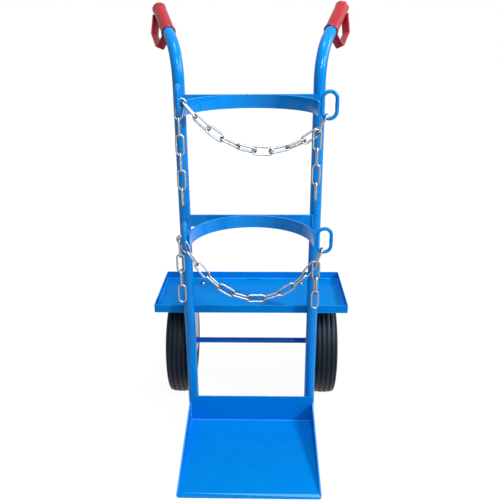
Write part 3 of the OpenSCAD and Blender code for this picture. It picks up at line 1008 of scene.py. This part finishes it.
@dataclass
class Grips:
    """Hand grips with their knuckle guards."""

    radius: float = 16.0
    band_wide: float = 20.0
    band_thick: float = 4.0
    reach: float = 45.0
    guard_turn: float = 25.0
    guard_length: float = 70.0
    slope_bend: float = 9.0
    slope_length: float = 42.0
    slope_end: float = 19.0
    flange_r: float = 17.4
    foot: float = 14.6
    corner: float = 5.0

    def build(self) -> None:
        """Moulds both grips."""
        for side in Side:
            self.grip(side)

    def grip(self, side: Side) -> None:
        """One grip: bead, body, flange, cap, mould line and guard band.

        Args:
            side: side of the cart.
        """
        length = SIZES.grip_length
        r = self.radius
        outline = [(14.1, 1.0), (14.8, 0.0), (16.6, 0.0), (17.3, 0.9), (17.5, 2.4), (17.3, 4.1),
                   (16.6, 5.2), (15.9, 5.8), (15.6, 7.2), (15.7, 12.0), (r, 30.0), (r + 0.15, 60.0),
                   (r, 95.0)]
        outline += [(radius, length - back) for radius, back in (
            (15.8, 8.0), (15.9, 5.4), (16.4, 4.6), (17.0, 3.6), (17.0, 2.0), (16.5, 0.9), (15.4, 0.3),
            (13.2, 0.1), (12.6, 0.9), (12.0, 0.9), (11.4, 0.1), (5.0, 0.0), (0.0, 0.0))]
        mesh = bmesh.new()
        Stock.revolve(mesh, outline, Matrix.Identity(4), 48, closed=False)
        guard = spin(-side.value * self.guard_turn, "Z")
        self.mould_line(mesh, guard)
        self.band(mesh, guard)
        bmesh.ops.transform(mesh, matrix=grip_frame(side), verts=mesh.verts)
        make_piece(mesh, f"{side.word}_hand_grip", "frame", GRIP_VINYL, [f"{side.word}_grip"], sharp=50.0)

    def mould_line(self, mesh: BMesh, guard: Matrix) -> None:
        """Fine parting ridges along both flanks of the body.

        Args:
            mesh: mesh to add to.
            guard: turn of the guard.
        """
        for turn in (90.0, -90.0):
            part = bmesh.new()
            sweep = Sweep(part, Stock.plate(part, 0.9, 0.7, Matrix.Identity(4)))
            sweep.straight(Vector((0.25, 0, 45.0)), 2).straight(Vector((0.0, 0, 44.0)), 2)
            sweep.straight(Vector((-0.3, 0, 14.0)), 1)
            Stock.soften(part, 0.2, 1, 50.0)
            Stock.add(mesh, part, guard @ spin(turn, "Z") @ shift(self.radius - 0.35, 0, 6.0))

    def band(self, mesh: BMesh, guard: Matrix) -> None:
        """The guard's band: leg, front bar and slope back to the flange.

        Args:
            mesh: mesh to add to.
            guard: turn of the guard.
        """
        part = bmesh.new()
        t = self.band_thick
        c = self.corner
        place = shift(self.foot, 0, t / 2) @ spin(90, "Y")
        sweep = Sweep(part, Stock.plate(part, t, self.band_wide, place))
        sweep.straight(X * (self.reach - c - self.foot), 3)
        sweep.turn(Vector((self.reach - c, 0, t / 2 + c)), Y, -90.0, 7)
        sweep.straight(Z * (self.guard_length - t / 2 - 2 * c), 4)
        slope = math.degrees(math.atan2(self.reach - self.slope_end, self.slope_length))
        sweep.turn(Vector((self.reach - self.slope_bend, 0, self.guard_length - c)), Y, -slope, 6)
        way = Matrix.Rotation(math.radians(-slope), 3, "Y") @ Z
        here = sweep.face.calc_center_median()
        sweep.straight(way * ((here.x - self.flange_r) / -way.x), 4)
        Stock.soften(part, 1.1, 3, 50.0)
        Stock.add(mesh, part, guard)


@dataclass
class Cradles:
    """Crossbars, cradle straps and anchor rings, with their welds."""

    names: tuple[str, str] = ("lower", "upper")
    coping: float = 9.6

    def build(self) -> None:
        """Makes both levels."""
        for index, name in enumerate(self.names):
            z = SIZES.bar_z[index]
            self.crossbar(name, z)
            self.strap(name, z)
            self.rings(name, index)
            self.welds(name, z)

    def crossbar(self, name: str, z: float) -> None:
        """Flat bar between the tubes with softened edges.

        Args:
            name: level name.
            z: underside of the bar.
        """
        s = SIZES
        end = s.track / 2 - self.coping
        mesh = bmesh.new()
        place = shift(-end, -s.bar_front + s.bar_t / 2, z + s.bar_h / 2) @ spin(90, "Y")
        sweep = Sweep(mesh, Stock.plate(mesh, s.bar_h, s.bar_t, place))
        sweep.straight(X * (2 * end), 4)
        Stock.soften(mesh, 0.9, 3)
        flatten(make_piece(mesh, f"{name}_flat_bar", "frame", FRAME_PAINT, [f"{name}_crossbar"]))

    def strap(self, name: str, z: float) -> None:
        """Half round strap with short arms.

        Args:
            name: level name.
            z: underside of the strap.
        """
        s = SIZES
        mid = Vector((s.cradle_offset, -s.bar_front - s.cradle_r - s.weld_gap, z + s.bar_h / 2))
        start = mid + Vector((s.cradle_r - s.bar_t / 2, -s.arm, 0))
        mesh = bmesh.new()
        place = Matrix.Translation(start) @ spin(90, "X")
        sweep = Sweep(mesh, Stock.plate(mesh, s.bar_t, s.bar_h, place))
        sweep.straight(Y * s.arm, 1)
        sweep.turn(mid, Z, 180.0, 60)
        sweep.straight(Y * -s.arm, 1)
        Stock.soften(mesh, 0.9, 3)
        flatten(make_piece(mesh, f"{name}_round_strap", "frame", FRAME_PAINT, [f"{name}_cradle_strap"]))

    def rings(self, name: str, index: int) -> None:
        """Bent rod rings at both tips of a strap.

        Args:
            name: level name.
            index: 0 for the lower level, 1 for the upper.
        """
        s = SIZES
        left = shift(*s.left_ring, s.left_bar[index] + s.ring_half) @ spin(-90, "Z")
        right = shift(*s.right_ring, s.right_mid[index])
        for side, place in ((Side.LEFT, left), (Side.RIGHT, right)):
            mesh = bmesh.new()
            Stock.oval(mesh, s.ring_half, s.ring_bend, s.ring_rod, 24, 22, 0.10, place)
            make_piece(mesh, f"{name}_{side.word}_rod_ring", "frame", FRAME_PAINT,
                       [f"{name}_{side.word}_ring"], sharp=60.0)

    @staticmethod
    def welds(name: str, z: float) -> None:
        """Beads at the bar ends, between bar and strap, and at the rings.

        Args:
            name: level name.
            z: underside of the bar.
        """
        s = SIZES
        mesh = bmesh.new()
        x = s.track / 2
        for sign in (-1, 1):
            Stock.seam(mesh, (sign * (x - 8.2), -s.bar_front - 0.2, z + 0.5), (0, 0, s.bar_h - 1.0), 2.3)
            Stock.seam(mesh, (sign * (x - 12.3), -6.6, z + 1), (0, 0, s.bar_h - 2), 2.0)
            for level in (z + s.bar_h - 0.6, z + 0.6):
                Stock.seam(mesh, (s.cradle_offset + sign * 12.0 - 6, -s.bar_front, level), (12, 0, 0), 1.5)
        y = s.right_ring[1]
        for level in (z + 3.0, z + s.bar_h - 9.0):
            for x in (s.left_ring[0] + 3.6, s.right_ring[0] - 18.6):
                for side in (-3.4, 3.4):
                    Stock.seam(mesh, (x, y + side, level), (0, 0, 6.5), 1.7)
        make_piece(mesh, f"{name}_cradle_welds", "frame", FRAME_PAINT, sharp=60.0)


@dataclass
class Chain:
    """One chain: ring link, hanging span, right ring link and two loose ends."""

    name: str
    level: int
    lean: float
    from_top: bool
    count: int
    slack: float
    wire_angles: tuple[float, float]
    end_angles: tuple[float, float]
    ring_angle: float
    end_lean: float
    span_knot: tuple[float, float, float]
    tail_knot: tuple[float, float, float]
    roll_step: float
    tails: tuple[int, int]
    right_roll: float
    wire: float = 4.5
    inner: float = 37.3
    bend: float = 7.75
    tail_slack: float = 0.6
    stretch: float = 1.0025
    turn: float = 0.0
    half: float = field(init=False)

    def __post_init__(self) -> None:
        """Works out the half length of a link's centre line."""
        self.half = (self.inner + self.wire) / 2

    @property
    def throw(self) -> float:
        """From the middle of an end arc to the wire of the next link in it."""
        return self.bend - self.wire - self.tail_slack

    @staticmethod
    def way(angle: float) -> Vector:
        """Unit vector (along, up)."""
        return Vector((math.cos(math.radians(angle)), math.sin(math.radians(angle))))

    def reach(self) -> Vector:
        """Way from the left ring's bar to the right one's, seen from above.

        Returns:
            The way, (X, Y).
        """
        s = SIZES
        run = s.right_ring[0] - s.ring_bend * math.sin(math.radians(self.ring_angle)) - s.left_ring[0]
        return Vector((run, s.right_ring[1] - s.left_ring[1]))

    def ring_link(self) -> Vector:
        """Middle of the link round the left ring's bar."""
        hold = self.wire + SIZES.ring_rod / 2 + self.wire / 2 + 2 * self.tail_slack
        return Vector((0.0, SIZES.left_bar[self.level])) + (self.half - hold) * self.way(90 - self.lean)

    def eye(self, top: bool) -> Vector:
        """Middle of one end arc of the ring link."""
        sign = 1 if top else -1
        return self.ring_link() + sign * (self.half - self.bend) * self.way(90 - self.lean)

    def end_wire(self) -> Vector:
        """Upper wire of the link on the right ring.

        Returns:
            The point, (along, up).
        """
        s = SIZES
        arc = s.ring_half - s.ring_bend
        low = s.right_mid[self.level] - arc - s.ring_bend * math.cos(math.radians(self.ring_angle))
        lift = s.ring_rod / 2 + self.wire / 2 + self.tail_slack
        return Vector((self.reach().length, low)) + lift * self.way(90 - self.ring_angle)

    def knot(self) -> Vector:
        """Lower wire of the link on the right ring."""
        return self.end_wire() - 2 * self.half * self.way(90 - self.end_lean)

    def joints(self) -> list[Vector]:
        """Joint points of the span along a catenary.

        Returns:
            The points, (along, up), from left to right.
        """
        start = self.eye(self.from_top) + self.throw * self.way(self.wire_angles[0])
        e = self.way(90 - self.end_lean)
        end = self.knot() + self.span_knot[1] * e + self.span_knot[0] * Vector((e.y, -e.x))
        half = (self.wire + self.slack) / 2
        p = start + half * self.way(self.end_angles[0])
        q = end - half * self.way(self.end_angles[1])
        h, v = q.x - p.x, q.y - p.y
        s = self.count * (self.inner - self.slack) * self.stretch
        ratio = math.sqrt(s * s - v * v) / h
        low, high = 0.001, 20.0
        for _ in range(60):
            m = (low + high) / 2
            low, high = (m, high) if math.sinh(m) / m < ratio else (low, m)
        a = h / (2 * low)
        x0 = h / 2 - a * math.atanh(v / s)
        s0 = -a * math.sinh(x0 / a)
        z0 = a * math.cosh(x0 / a)
        out = []
        for i in range(self.count + 1):
            x = x0 + a * math.asinh((s * i / self.count + s0) / a)
            out.append(Vector((p.x + x, p.y + a * math.cosh((x - x0) / a) - z0)))
        return out

    def link(self, mesh: BMesh, at: Vector, angle: float, roll: float, side: float = 0.0) -> None:
        """One link in the chain's plane.

        Args:
            mesh: mesh to add to.
            at: its middle, (along, up).
            angle: direction of its length in degrees.
            roll: turn about its length in degrees.
            side: offset across the plane.
        """
        plane = shift(*SIZES.left_ring, 0) @ spin(self.turn, "Z")
        place = plane @ shift(at.x, side, at.y) @ spin(90 - angle, "Y") @ spin(roll, "Z")
        Stock.oval(mesh, self.half, self.bend, self.wire, 16, 14, 0.16, place)

    def build(self) -> None:
        """Makes the span and the loose ends."""
        self.span()
        self.loose_ends()

    def span(self) -> None:
        """The link round the left ring's bar, the hanging links and the link on the right ring."""
        joints = self.joints()
        mesh = bmesh.new()
        self.link(mesh, self.ring_link(), 90 - self.lean, 0.0)
        for i in range(self.count):
            step = joints[i + 1] - joints[i]
            angle = math.degrees(math.atan2(step.y, step.x))
            self.link(mesh, (joints[i] + joints[i + 1]) / 2, angle, 90 - self.roll_step * i,
                      self.span_knot[2] * (i + 0.5) / self.count)
        end = 90 - self.end_lean
        self.link(mesh, self.end_wire() - self.half * self.way(end), end, 90.0)
        body = f"{self.name}_chain_span"
        make_piece(mesh, f"{self.name}_span_links", body, CHAIN_ZINC, [body], sharp=70.0)

    def loose_ends(self) -> None:
        """The links that hang from both knots, one piece each."""
        left = self.eye(not self.from_top) + self.throw * self.way(self.wire_angles[1])
        right = self.knot() + Vector(self.tail_knot[:2])
        for side, top, count, roll, step, off in (
                (Side.LEFT, left, self.tails[0], 90.0, -90.0, 0.0),
                (Side.RIGHT, right, self.tails[1], self.right_roll, 90.0, self.tail_knot[2])):
            for i in range(count):
                mesh = bmesh.new()
                drop = self.half + i * (self.inner - self.tail_slack)
                self.link(mesh, top - Vector((0.0, drop)), -90.0, roll + step * i, off)
                node = f"{self.name}_{side.word}_tail_{i + 1}"
                make_piece(mesh, f"{node}_link", node, CHAIN_ZINC, [node], sharp=70.0)


def chains() -> list[Chain]:
    """Both chains as they hang.

    Returns:
        The upper and the lower chain.
    """
    upper = Chain(
        "upper", level=1, lean=16.0, from_top=True, count=9, slack=2.0, wire_angles=(40.0, -90.0),
        end_angles=(-54.0, 39.0), ring_angle=36.0, end_lean=26.0, span_knot=(1.49, 6.68, 2.57),
        tail_knot=(-0.31, 7.79, -2.77), roll_step=56.25, tails=(5, 4), right_roll=0.0)
    lower = Chain(
        "lower", level=0, lean=-27.0, from_top=False, count=10, slack=0.8, wire_angles=(-60.0, 160.0),
        end_angles=(-59.0, 52.0), ring_angle=30.5, end_lean=21.0, span_knot=(0.1, 6.6, 2.2),
        tail_knot=(2.6, 9.12, -2.34), roll_step=90.0, tails=(4, 3), right_roll=-10.0)
    run, side = upper.reach()
    upper.turn = lower.turn = math.degrees(math.atan2(side, run))
    return [upper, lower]


@dataclass
class ToePlate:
    """Folded toe plate with side walls that taper to its front."""

    wide: float = 340.0
    front: float = -304.5
    back: float = -14.05
    sheet: float = 3.5
    back_high: float = 80.0
    side_high: float = 62.5
    nose: float = 4.5
    corner: float = 8.0
    fold: float = 4.4
    flat_front: float = 4.0
    flat_rear: float = 1.5

    def build(self) -> None:
        """Folds the sheet and adds its welds."""
        w = self.wide / 2
        deep = self.back - self.front
        mesh = bmesh.new()
        mid = (self.front + self.back) / 2
        Stock.plate(mesh, self.wide, deep, shift(0, mid, 0))
        noses = [v for v in mesh.verts if v.co.y < mid]
        round_off(mesh, noses, self.corner, 6, "VERTICES")
        rear = next(e for e in mesh.edges if all(abs(v.co.y - self.back) < 0.01 for v in e.verts))
        self.raise_wall(mesh, [rear], lambda v: self.back_high)
        for sign in (-1, 1):
            edge = next(e for e in mesh.edges
                        if all(abs(v.co.x - sign * w) < 0.01 and v.co.z < 0.01 for v in e.verts))
            self.raise_wall(mesh, [edge], lambda v: self.nose + (self.side_high - self.nose)
                            * (v.co.y - self.front) / deep)
        round_off(mesh, fold_edges(mesh), self.fold, 5)
        for y in (self.back - self.fold - self.flat_rear, self.front + self.corner + self.flat_front):
            whole = [*mesh.verts, *mesh.edges, *mesh.faces]
            bmesh.ops.bisect_plane(mesh, geom=whole, plane_co=(0, y, 0), plane_no=(0, 1, 0), dist=0.001)
        piece = make_piece(mesh, "folded_toe_plate", "frame", PLATE_PAINT, ["toe_plate"], outward=-Z)
        thicken(piece, self.sheet, 0.5)
        self.welds()

    @staticmethod
    def raise_wall(mesh: BMesh, edges: list[BMEdge], height: Callable[[BMVert], float]) -> None:
        """Folds a wall up from edges."""
        for vert in verts_of(bmesh.ops.extrude_edge_only(mesh, edges=edges)["geom"]):
            vert.co.z += height(vert)

    def welds(self) -> None:
        """Beads beside both tubes and up the back corners."""
        mesh = bmesh.new()
        for sign in (-1, 1):
            for x in (SIZES.track / 2 - 6.0, SIZES.track / 2 + 5.0):
                Stock.seam(mesh, (sign * x, self.back + 0.6, 6.0), (0, 0, 68.0), 2.0)
            x = sign * (self.wide / 2 - self.sheet)
            Stock.seam(mesh, (x, self.back - self.sheet, 4.5), (0, 0, self.side_high - 7.5), 1.4)
        make_piece(mesh, "toe_plate_welds", "frame", PLATE_PAINT, sharp=60.0)


@dataclass
class ToolTray:
    """Open tray with slots, rim and bolts."""

    wide: float = 512.0
    deep: float = 229.0
    high: float = 23.0
    sheet: float = 2.0
    front: float = 14.5
    slots: tuple[float, float, float] = (-198.0, 0.0, 198.0)
    slot_long: float = 46.0
    slot_wide: float = 3.0
    slot_back: float = 12.5
    fold: float = 3.0
    bolt_at: tuple[float, float] = (144.0, 202.0)
    bolt_flat: float = 6.5
    bolt_r: float = 3.9
    head_high: float = 4.6
    nut_high: float = 6.5
    washer: float = 1.4
    flange: float = 5.0

    def build(self) -> None:
        """Presses the tray and fits its bolts."""
        mesh = bmesh.new()
        mid = self.front + self.deep / 2
        Stock.plate(mesh, self.wide, self.deep, shift(0, mid, SIZES.tray_z))
        made = bmesh.ops.extrude_edge_only(mesh, edges=list(mesh.edges))["geom"]
        bmesh.ops.translate(mesh, vec=(0, 0, self.high), verts=verts_of(made))
        bmesh.ops.remove_doubles(mesh, verts=mesh.verts, dist=0.01)
        round_off(mesh, fold_edges(mesh), self.fold, 4)
        self.cut_slots(mesh)
        piece = make_piece(mesh, "pressed_tray", "frame", PLATE_PAINT, ["tool_tray"], outward=-Z)
        thicken(piece, self.sheet, 0.35)
        self.slot_edges()
        self.bolts()
        self.welds()

    def cut_slots(self, mesh: BMesh) -> None:
        """Cuts the row of slots along the rear of the floor.

        Args:
            mesh: the tray's sheet.
        """
        y0 = self.front + self.deep - self.slot_back
        low = SIZES.tray_z + 1
        half = self.slot_long / 2
        cuts = [(Y * y, Y) for y in (y0, y0 + self.slot_wide)]
        cuts += [(X * (x + side), X) for x in self.slots for side in (-half, half)]
        for point, normal in cuts:
            floor = [f for f in mesh.faces if abs(f.normal.z) > 0.99 and f.calc_center_median().z < low]
            edges = {e for f in floor for e in f.edges}
            verts = {v for f in floor for v in f.verts}
            bmesh.ops.bisect_plane(mesh, geom=[*floor, *edges, *verts], plane_co=point, plane_no=normal,
                                   dist=0.001)
        out = []
        for face in mesh.faces:
            c = face.calc_center_median()
            if c.z < low and y0 < c.y < y0 + self.slot_wide and any(abs(c.x - x) < half for x in self.slots):
                out.append(face)
        bmesh.ops.delete(mesh, geom=out, context="FACES")

    def slot_edges(self) -> None:
        """Dark strips along the rear side of the slots: painted shade where the slot's far wall lies in
        shadow.
        """
        mesh = bmesh.new()
        y = self.front + self.deep - self.slot_back + self.slot_wide
        long = self.slot_long - 1.0
        for x in self.slots:
            # Painted shade: a dark strip on the floor behind each slot and one down its rear wall.
            Stock.plate(mesh, long, 0.9, shift(x, y + 0.4, SIZES.tray_z + self.sheet + 0.05))
            Stock.plate(mesh, long, self.sheet - 0.4,
                        shift(x, y - 0.05, SIZES.tray_z + self.sheet / 2) @ spin(90, "X"))
        make_piece(mesh, "slot_edges", "frame", SLOT_SHADE_PAINT)

    def bolts(self) -> None:
        """Hexagon heads with washers above, nuts below."""
        mesh = bmesh.new()
        for sign in (-1, 1):
            base = Vector((sign * self.bolt_at[0], self.bolt_at[1], SIZES.tray_z + self.sheet))
            Stock.revolve(mesh, [(4.0, 0.02), (8.0, 0.02), (8.3, 0.5), (8.0, 1.3), (4.0, self.washer)],
                          Matrix.Translation(base), 32)
            self.hexagon(mesh, base + Z * self.washer, self.head_high, 20.0 * sign)
            low = base - Z * (self.sheet + self.flange + self.nut_high)
            self.hexagon(mesh, low, self.nut_high, 10.0)
            part = bmesh.new()
            tip = Matrix.Translation(low - Z * 3.4)
            Sweep(part, Stock.disc(part, self.bolt_r, tip, 20)).straight(Z * 14.0, 6)
            Stock.soften(part, 0.6, 2, 60.0)
            Stock.add(mesh, part)
        make_piece(mesh, "tray_bolt_set", "frame", BOLT_ZINC, ["tray_bolts"])

    def hexagon(self, mesh: BMesh, base: Vector, high: float, turn: float) -> None:
        """A chamfered hexagon prism.

        Args:
            mesh: mesh to add to.
            base: middle of its lower face.
            high: its height.
            turn: its turn in degrees.
        """
        part = bmesh.new()
        place = Matrix.Translation(base) @ spin(turn, "Z")
        sweep = Sweep(part, Stock.disc(part, self.bolt_flat / math.cos(math.pi / 6), place, 6))
        sweep.straight(Z * (high - 0.8), 1)
        sweep.swell(0.9, Z * 0.8)
        Stock.soften(part, 0.25, 1, 20.0)
        Stock.add(mesh, part)

    def welds(self) -> None:
        """Beads where the tray's front wall meets the tubes: up the wall and along its top edge."""
        mesh = bmesh.new()
        z = SIZES.tray_z
        for sign in (-1, 1):
            for side in (-1, 1):
                x = sign * SIZES.track / 2 + side * 5.5
                Stock.seam(mesh, (x, self.front - 0.4, z + 2.0), (0, 0, self.high - 2.0), 2.0)
                x = sign * SIZES.track / 2 + side * 12.0 - 5
                Stock.seam(mesh, (x, self.front + 0.6, z + self.high - 0.2), (10, 0, 0), 1.5)
        make_piece(mesh, "tray_welds", "frame", PLATE_PAINT, sharp=60.0)


@dataclass
class RunningGear:
    """Axle, brackets and wheels."""

    groove: float = 13.4
    bead_r: float = 81.0
    crown: float = 0.004
    half_rib_gap: float = 1.5
    rib_high: float = 4.4
    wall: float = 13.0
    pips: int = 24
    axle_half: float = 251.15
    axle_r: float = 8.0
    gusset_x: float = 164.0
    valve_r: float = 66.0

    def build(self) -> None:
        """Dresses the CAD nodes and moulds the tyres."""
        finishes = {"axle_bracket": RUNNING_PAINT, "rim": RUNNING_PAINT, "wheel_bushes": BUSH_NYLON}
        for side in Side:
            for part, finish in finishes.items():
                dress_node(f"{side.word}_{part}", finish)
            self.tyre(side)
            self.valve(side)
        self.axle()
        dress_node("axle_washers", BOLT_ZINC)
        dress_node("axle_pins", BOLT_ZINC)
        self.welds()

    @staticmethod
    def hub_frame(side: Side) -> Matrix:
        """Frame at the cart's middle with Z out along the axle."""
        return shift(0, SIZES.axle_y, SIZES.wheel_r) @ spin(90.0 * side.value, "Y")

    def tyre(self, side: Side) -> None:
        """A ribbed tyre with rounded ribs, shoulder lines and sidewall rings.

        Args:
            side: side of the cart.
        """
        h = SIZES.tyre_width / 2
        r = SIZES.wheel_r
        b = self.bead_r
        tread: list[tuple[float, float]] = []
        for k in range(-2, 2):
            left = k * self.groove + self.half_rib_gap
            right = (k + 1) * self.groove - self.half_rib_gap
            near, far = (r - self.crown * (z * z) for z in (left, right))
            tread += [(near - self.rib_high, left + 0.3), (near - 0.9, left), (near - 0.2, left + 0.8),
                      ((near + far) / 2 + 0.25, (left + right) / 2), (far - 0.2, right - 0.8),
                      (far - 0.9, right), (far - self.rib_high, right - 0.3)]
        shoulder = [(r - drop, h - inset) for drop, inset in (
            (4.2, 6.6), (4.0, 4.8), (7.0, 2.8), (8.2, 2.9), (9.4, 2.0), (16.0, 0.6), (20.0, 0.1),
            (20.8, -0.35), (21.8, -0.35), (22.6, 0.1), (34.0, 0.3), (35.0, -0.2), (36.0, 0.2))]
        shoulder += [(b + 24.0, h - 4.5), (b + 16.0, 24.4), (b + 12.5, 22.4), (b + 11.5, 21.2),
                     (b + 6.0, 20.0), (b + 1.2, 19.6)]
        inside = [(b + 1.2, 10.0), (b + 16.0, 15.0), (r - 30.0, h - 9.0), (r - self.wall, 10.0)]
        outline = [(x, -z) for x, z in reversed(shoulder)] + tread + shoulder + inside
        outline += [(x, -z) for x, z in reversed(inside)]
        mesh = bmesh.new()
        Stock.revolve(mesh, outline, shift(0, 0, SIZES.wheel_x), 144)
        for index in range(self.pips):
            turn = Matrix.Rotation(math.tau * index / self.pips + 0.07, 4, "Z")
            for z in (h - 5.4, -h + 5.4):
                bmesh.ops.create_cone(mesh, cap_ends=True, segments=8, radius1=0.5, radius2=0.35, depth=2.4,
                                      matrix=turn @ shift(r - 4.6, 0, SIZES.wheel_x + z) @ spin(90.0, "Y"))
        bmesh.ops.transform(mesh, matrix=self.hub_frame(side), verts=mesh.verts)
        make_piece(mesh, f"{side.word}_ribbed_tyre", f"{side.word}_wheel", TYRE_RUBBER,
                   [f"{side.word}_tyre"], sharp=55.0)

    def valve(self, side: Side) -> None:
        """A rubber valve stem with its cap, through the outer side of the rim.

        Args:
            side: side of the cart.
        """
        mesh = bmesh.new()
        place = self.hub_frame(side) @ shift(self.valve_r, 0, SIZES.wheel_x + 7.0)
        outline = [(0.0, 0.0), (4.6, 0.0), (4.6, 2.0), (3.4, 4.0), (3.0, 12.0), (2.9, 13.0), (3.3, 13.4),
                   (3.3, 18.6), (2.6, 19.6), (0.0, 19.8)]
        Stock.revolve(mesh, outline, place, 24, closed=False)
        make_piece(mesh, f"{side.word}_valve", f"{side.word}_wheel", TYRE_RUBBER)

    def axle(self) -> None:
        """The axle bar with chamfered ends."""
        mesh = bmesh.new()
        place = shift(-self.axle_half, SIZES.axle_y, SIZES.wheel_r) @ spin(90.0, "Y")
        Sweep(mesh, Stock.disc(mesh, self.axle_r, place, 40)).straight(X * (2 * self.axle_half), 10)
        Stock.soften(mesh, 1.0, 2, 60.0)
        make_piece(mesh, "axle_bar", "frame", RUNNING_PAINT, ["axle"])

    def welds(self) -> None:
        """Beads round the axle at the brackets and down the backs of the tubes."""
        mesh = bmesh.new()
        s = SIZES
        around = self.axle_r + 0.6
        for sign in (-1, 1):
            turns = [math.tau * k / 18 for k in range(19)]
            ring = [(sign * self.gusset_x, s.axle_y + around * math.cos(a),
                     s.wheel_r + around * math.sin(a)) for a in turns]
            Stock.bead(mesh, ring, 1.7, 1.8)
            for x in (163.4, 169.6):
                back = math.sqrt(s.tube_r ** 2 - (x - s.track / 2) ** 2) + 0.5
                Stock.seam(mesh, (sign * x, back, 116.0), (0, 0, 200.0), 1.8)
        make_piece(mesh, "running_gear_welds", "frame", RUNNING_PAINT, sharp=60.0)


@dataclass
class Studio:
    """Camera, lamps, world and floor."""

    focal: float = 576.15
    camera_at: tuple[float, float, float] = (0.03474, -1.3611, 1.015)
    heading: float = 1.49
    pitch: float = 20.7
    roll: float = -0.44
    sensor: float = 36.0
    picture: float = 500.0
    glossy_light: float = 0.6
    matt_light: float = 0.29

    def build(self) -> None:
        """Sets up the studio."""
        bpy.context.scene.view_settings.view_transform = "Standard"
        self.camera()
        self.world()
        self.lamps()
        self.floor()

    def camera(self) -> None:
        """Places the camera."""
        data = bpy.data.cameras.new("camera")
        data.sensor_width = self.sensor
        data.lens = self.focal / self.picture * self.sensor
        data.clip_end = 60.0
        camera = put_in_scene("camera", data)
        p = math.radians(self.pitch)
        h = math.radians(self.heading)
        ahead = Vector((-math.sin(h) * math.cos(p), math.cos(h) * math.cos(p), -math.sin(p)))
        right = Vector((math.cos(h), math.sin(h), 0.0))
        up = right.cross(ahead)
        c, s = math.cos(math.radians(self.roll)), math.sin(math.radians(self.roll))
        across = right * c + up * s
        upward = up * c - right * s
        turn = Matrix((across, upward, -ahead)).transposed().to_4x4()
        camera.matrix_world = Matrix.Translation(self.camera_at) @ turn
        bpy.context.scene.camera = camera

    def world(self) -> None:
        """White to the camera and to reflections, softer as light."""
        bpy.context.scene.world = bpy.data.worlds.new("studio")
        sheet = NodeSheet.blank(bpy.context.scene.world)
        path = sheet.add("LightPath")
        seen = sheet.math("MAXIMUM", path.outputs["Is Camera Ray"], path.outputs["Is Transmission Ray"])
        glossy = sheet.math("MULTIPLY", path.outputs["Is Glossy Ray"], self.glossy_light)
        level = sheet.math("MAXIMUM", sheet.math("MAXIMUM", seen, glossy), self.matt_light)
        back = sheet.add("Background", Color=(1.0, 1.0, 1.0, 1.0))
        sheet.join(level, back.inputs["Strength"])
        sheet.join(back.outputs[0], sheet.add("OutputWorld").inputs[0])

    @staticmethod
    def lamps() -> None:
        """Key, front and top lamps, and two cards that show in reflections only."""
        for name, place, aim, size, power in (
                ("key", (2.4, -1.5, 2.4), (0.0, 0.0, 0.6), (0.4, 0.8), 80.0),
                ("front", (0.5, -3.1, 2.6), (0.0, 0.0, 0.6), (0.4, 0.5), 16.0),
                ("top", (0.2, -0.3, 3.0), (0.0, 0.0, 0.4), (0.6, 0.8), 30.0),
                ("front card", (0.7, -2.45, 2.75), (0.0, 0.0, 0.9), (0.35, 1.4), 75.0),
                ("right card", (2.75, 0.2, 2.2), (0.0, 0.0, 0.9), (2.4, 0.9), 70.0)):
            data = bpy.data.lights.new(name, "AREA")
            data.shape = "RECTANGLE"
            data.size, data.size_y = size
            data.energy = power
            lamp = put_in_scene(name, data)
            lamp.location = place
            lamp.visible_diffuse = "card" not in name
            lamp.rotation_euler = (Vector(aim) - Vector(place)).to_track_quat("-Z", "Y").to_euler()

    @staticmethod
    def floor() -> None:
        """White floor that keeps a faint shadow."""
        mesh = bmesh.new()
        bmesh.ops.create_grid(mesh, x_segments=1, y_segments=1, size=12.0, matrix=shift(0, 0, -0.0006))
        data = bpy.data.meshes.new("floor")
        mesh.to_mesh(data)
        mesh.free()
        floor = put_in_scene("floor", data)
        material = bpy.data.materials.new("floor white")
        sheet = NodeSheet.blank(material)
        path = sheet.add("LightPath")
        seen = sheet.math("MAXIMUM", path.outputs["Is Camera Ray"], path.outputs["Is Transmission Ray"])
        seen = sheet.math("MAXIMUM", seen, path.outputs["Is Glossy Ray"])
        spread = sheet.add("VectorMath", operation="LENGTH")
        sheet.join(sheet.add("TexCoord").outputs["Object"], spread.inputs[0])
        glow = sheet.add("Emission", Color=(1.0, 1.0, 1.0, 1.0))
        level = sheet.span(spread.outputs["Value"], 0.35, 0.8, 0.955, 1.0)
        sheet.join(sheet.math("MULTIPLY", seen, level), glow.inputs["Strength"])
        matt = sheet.add("BsdfDiffuse")
        sheet.join(sheet.blend(seen, (0.45, 0.45, 0.45), (0.08, 0.08, 0.08)), matt.inputs["Color"])
        both = sheet.add("AddShader")
        sheet.join(matt.outputs[0], both.inputs[0])
        sheet.join(glow.outputs[0], both.inputs[1])
        sheet.join(both.outputs[0], sheet.add("OutputMaterial").inputs[0])
        data.materials.append(material)


def main() -> None:
    """Builds the studio and every sub-assembly."""
    logging.basicConfig(level=logging.INFO, format="%(name)s: %(message)s")
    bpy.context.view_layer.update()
    Studio().build()
    Uprights().build()
    Grips().build()
    Cradles().build()
    for chain in chains():
        chain.build()
    ToePlate().build()
    ToolTray().build()
    RunningGear().build()


if __name__ == "__main__":
    main()
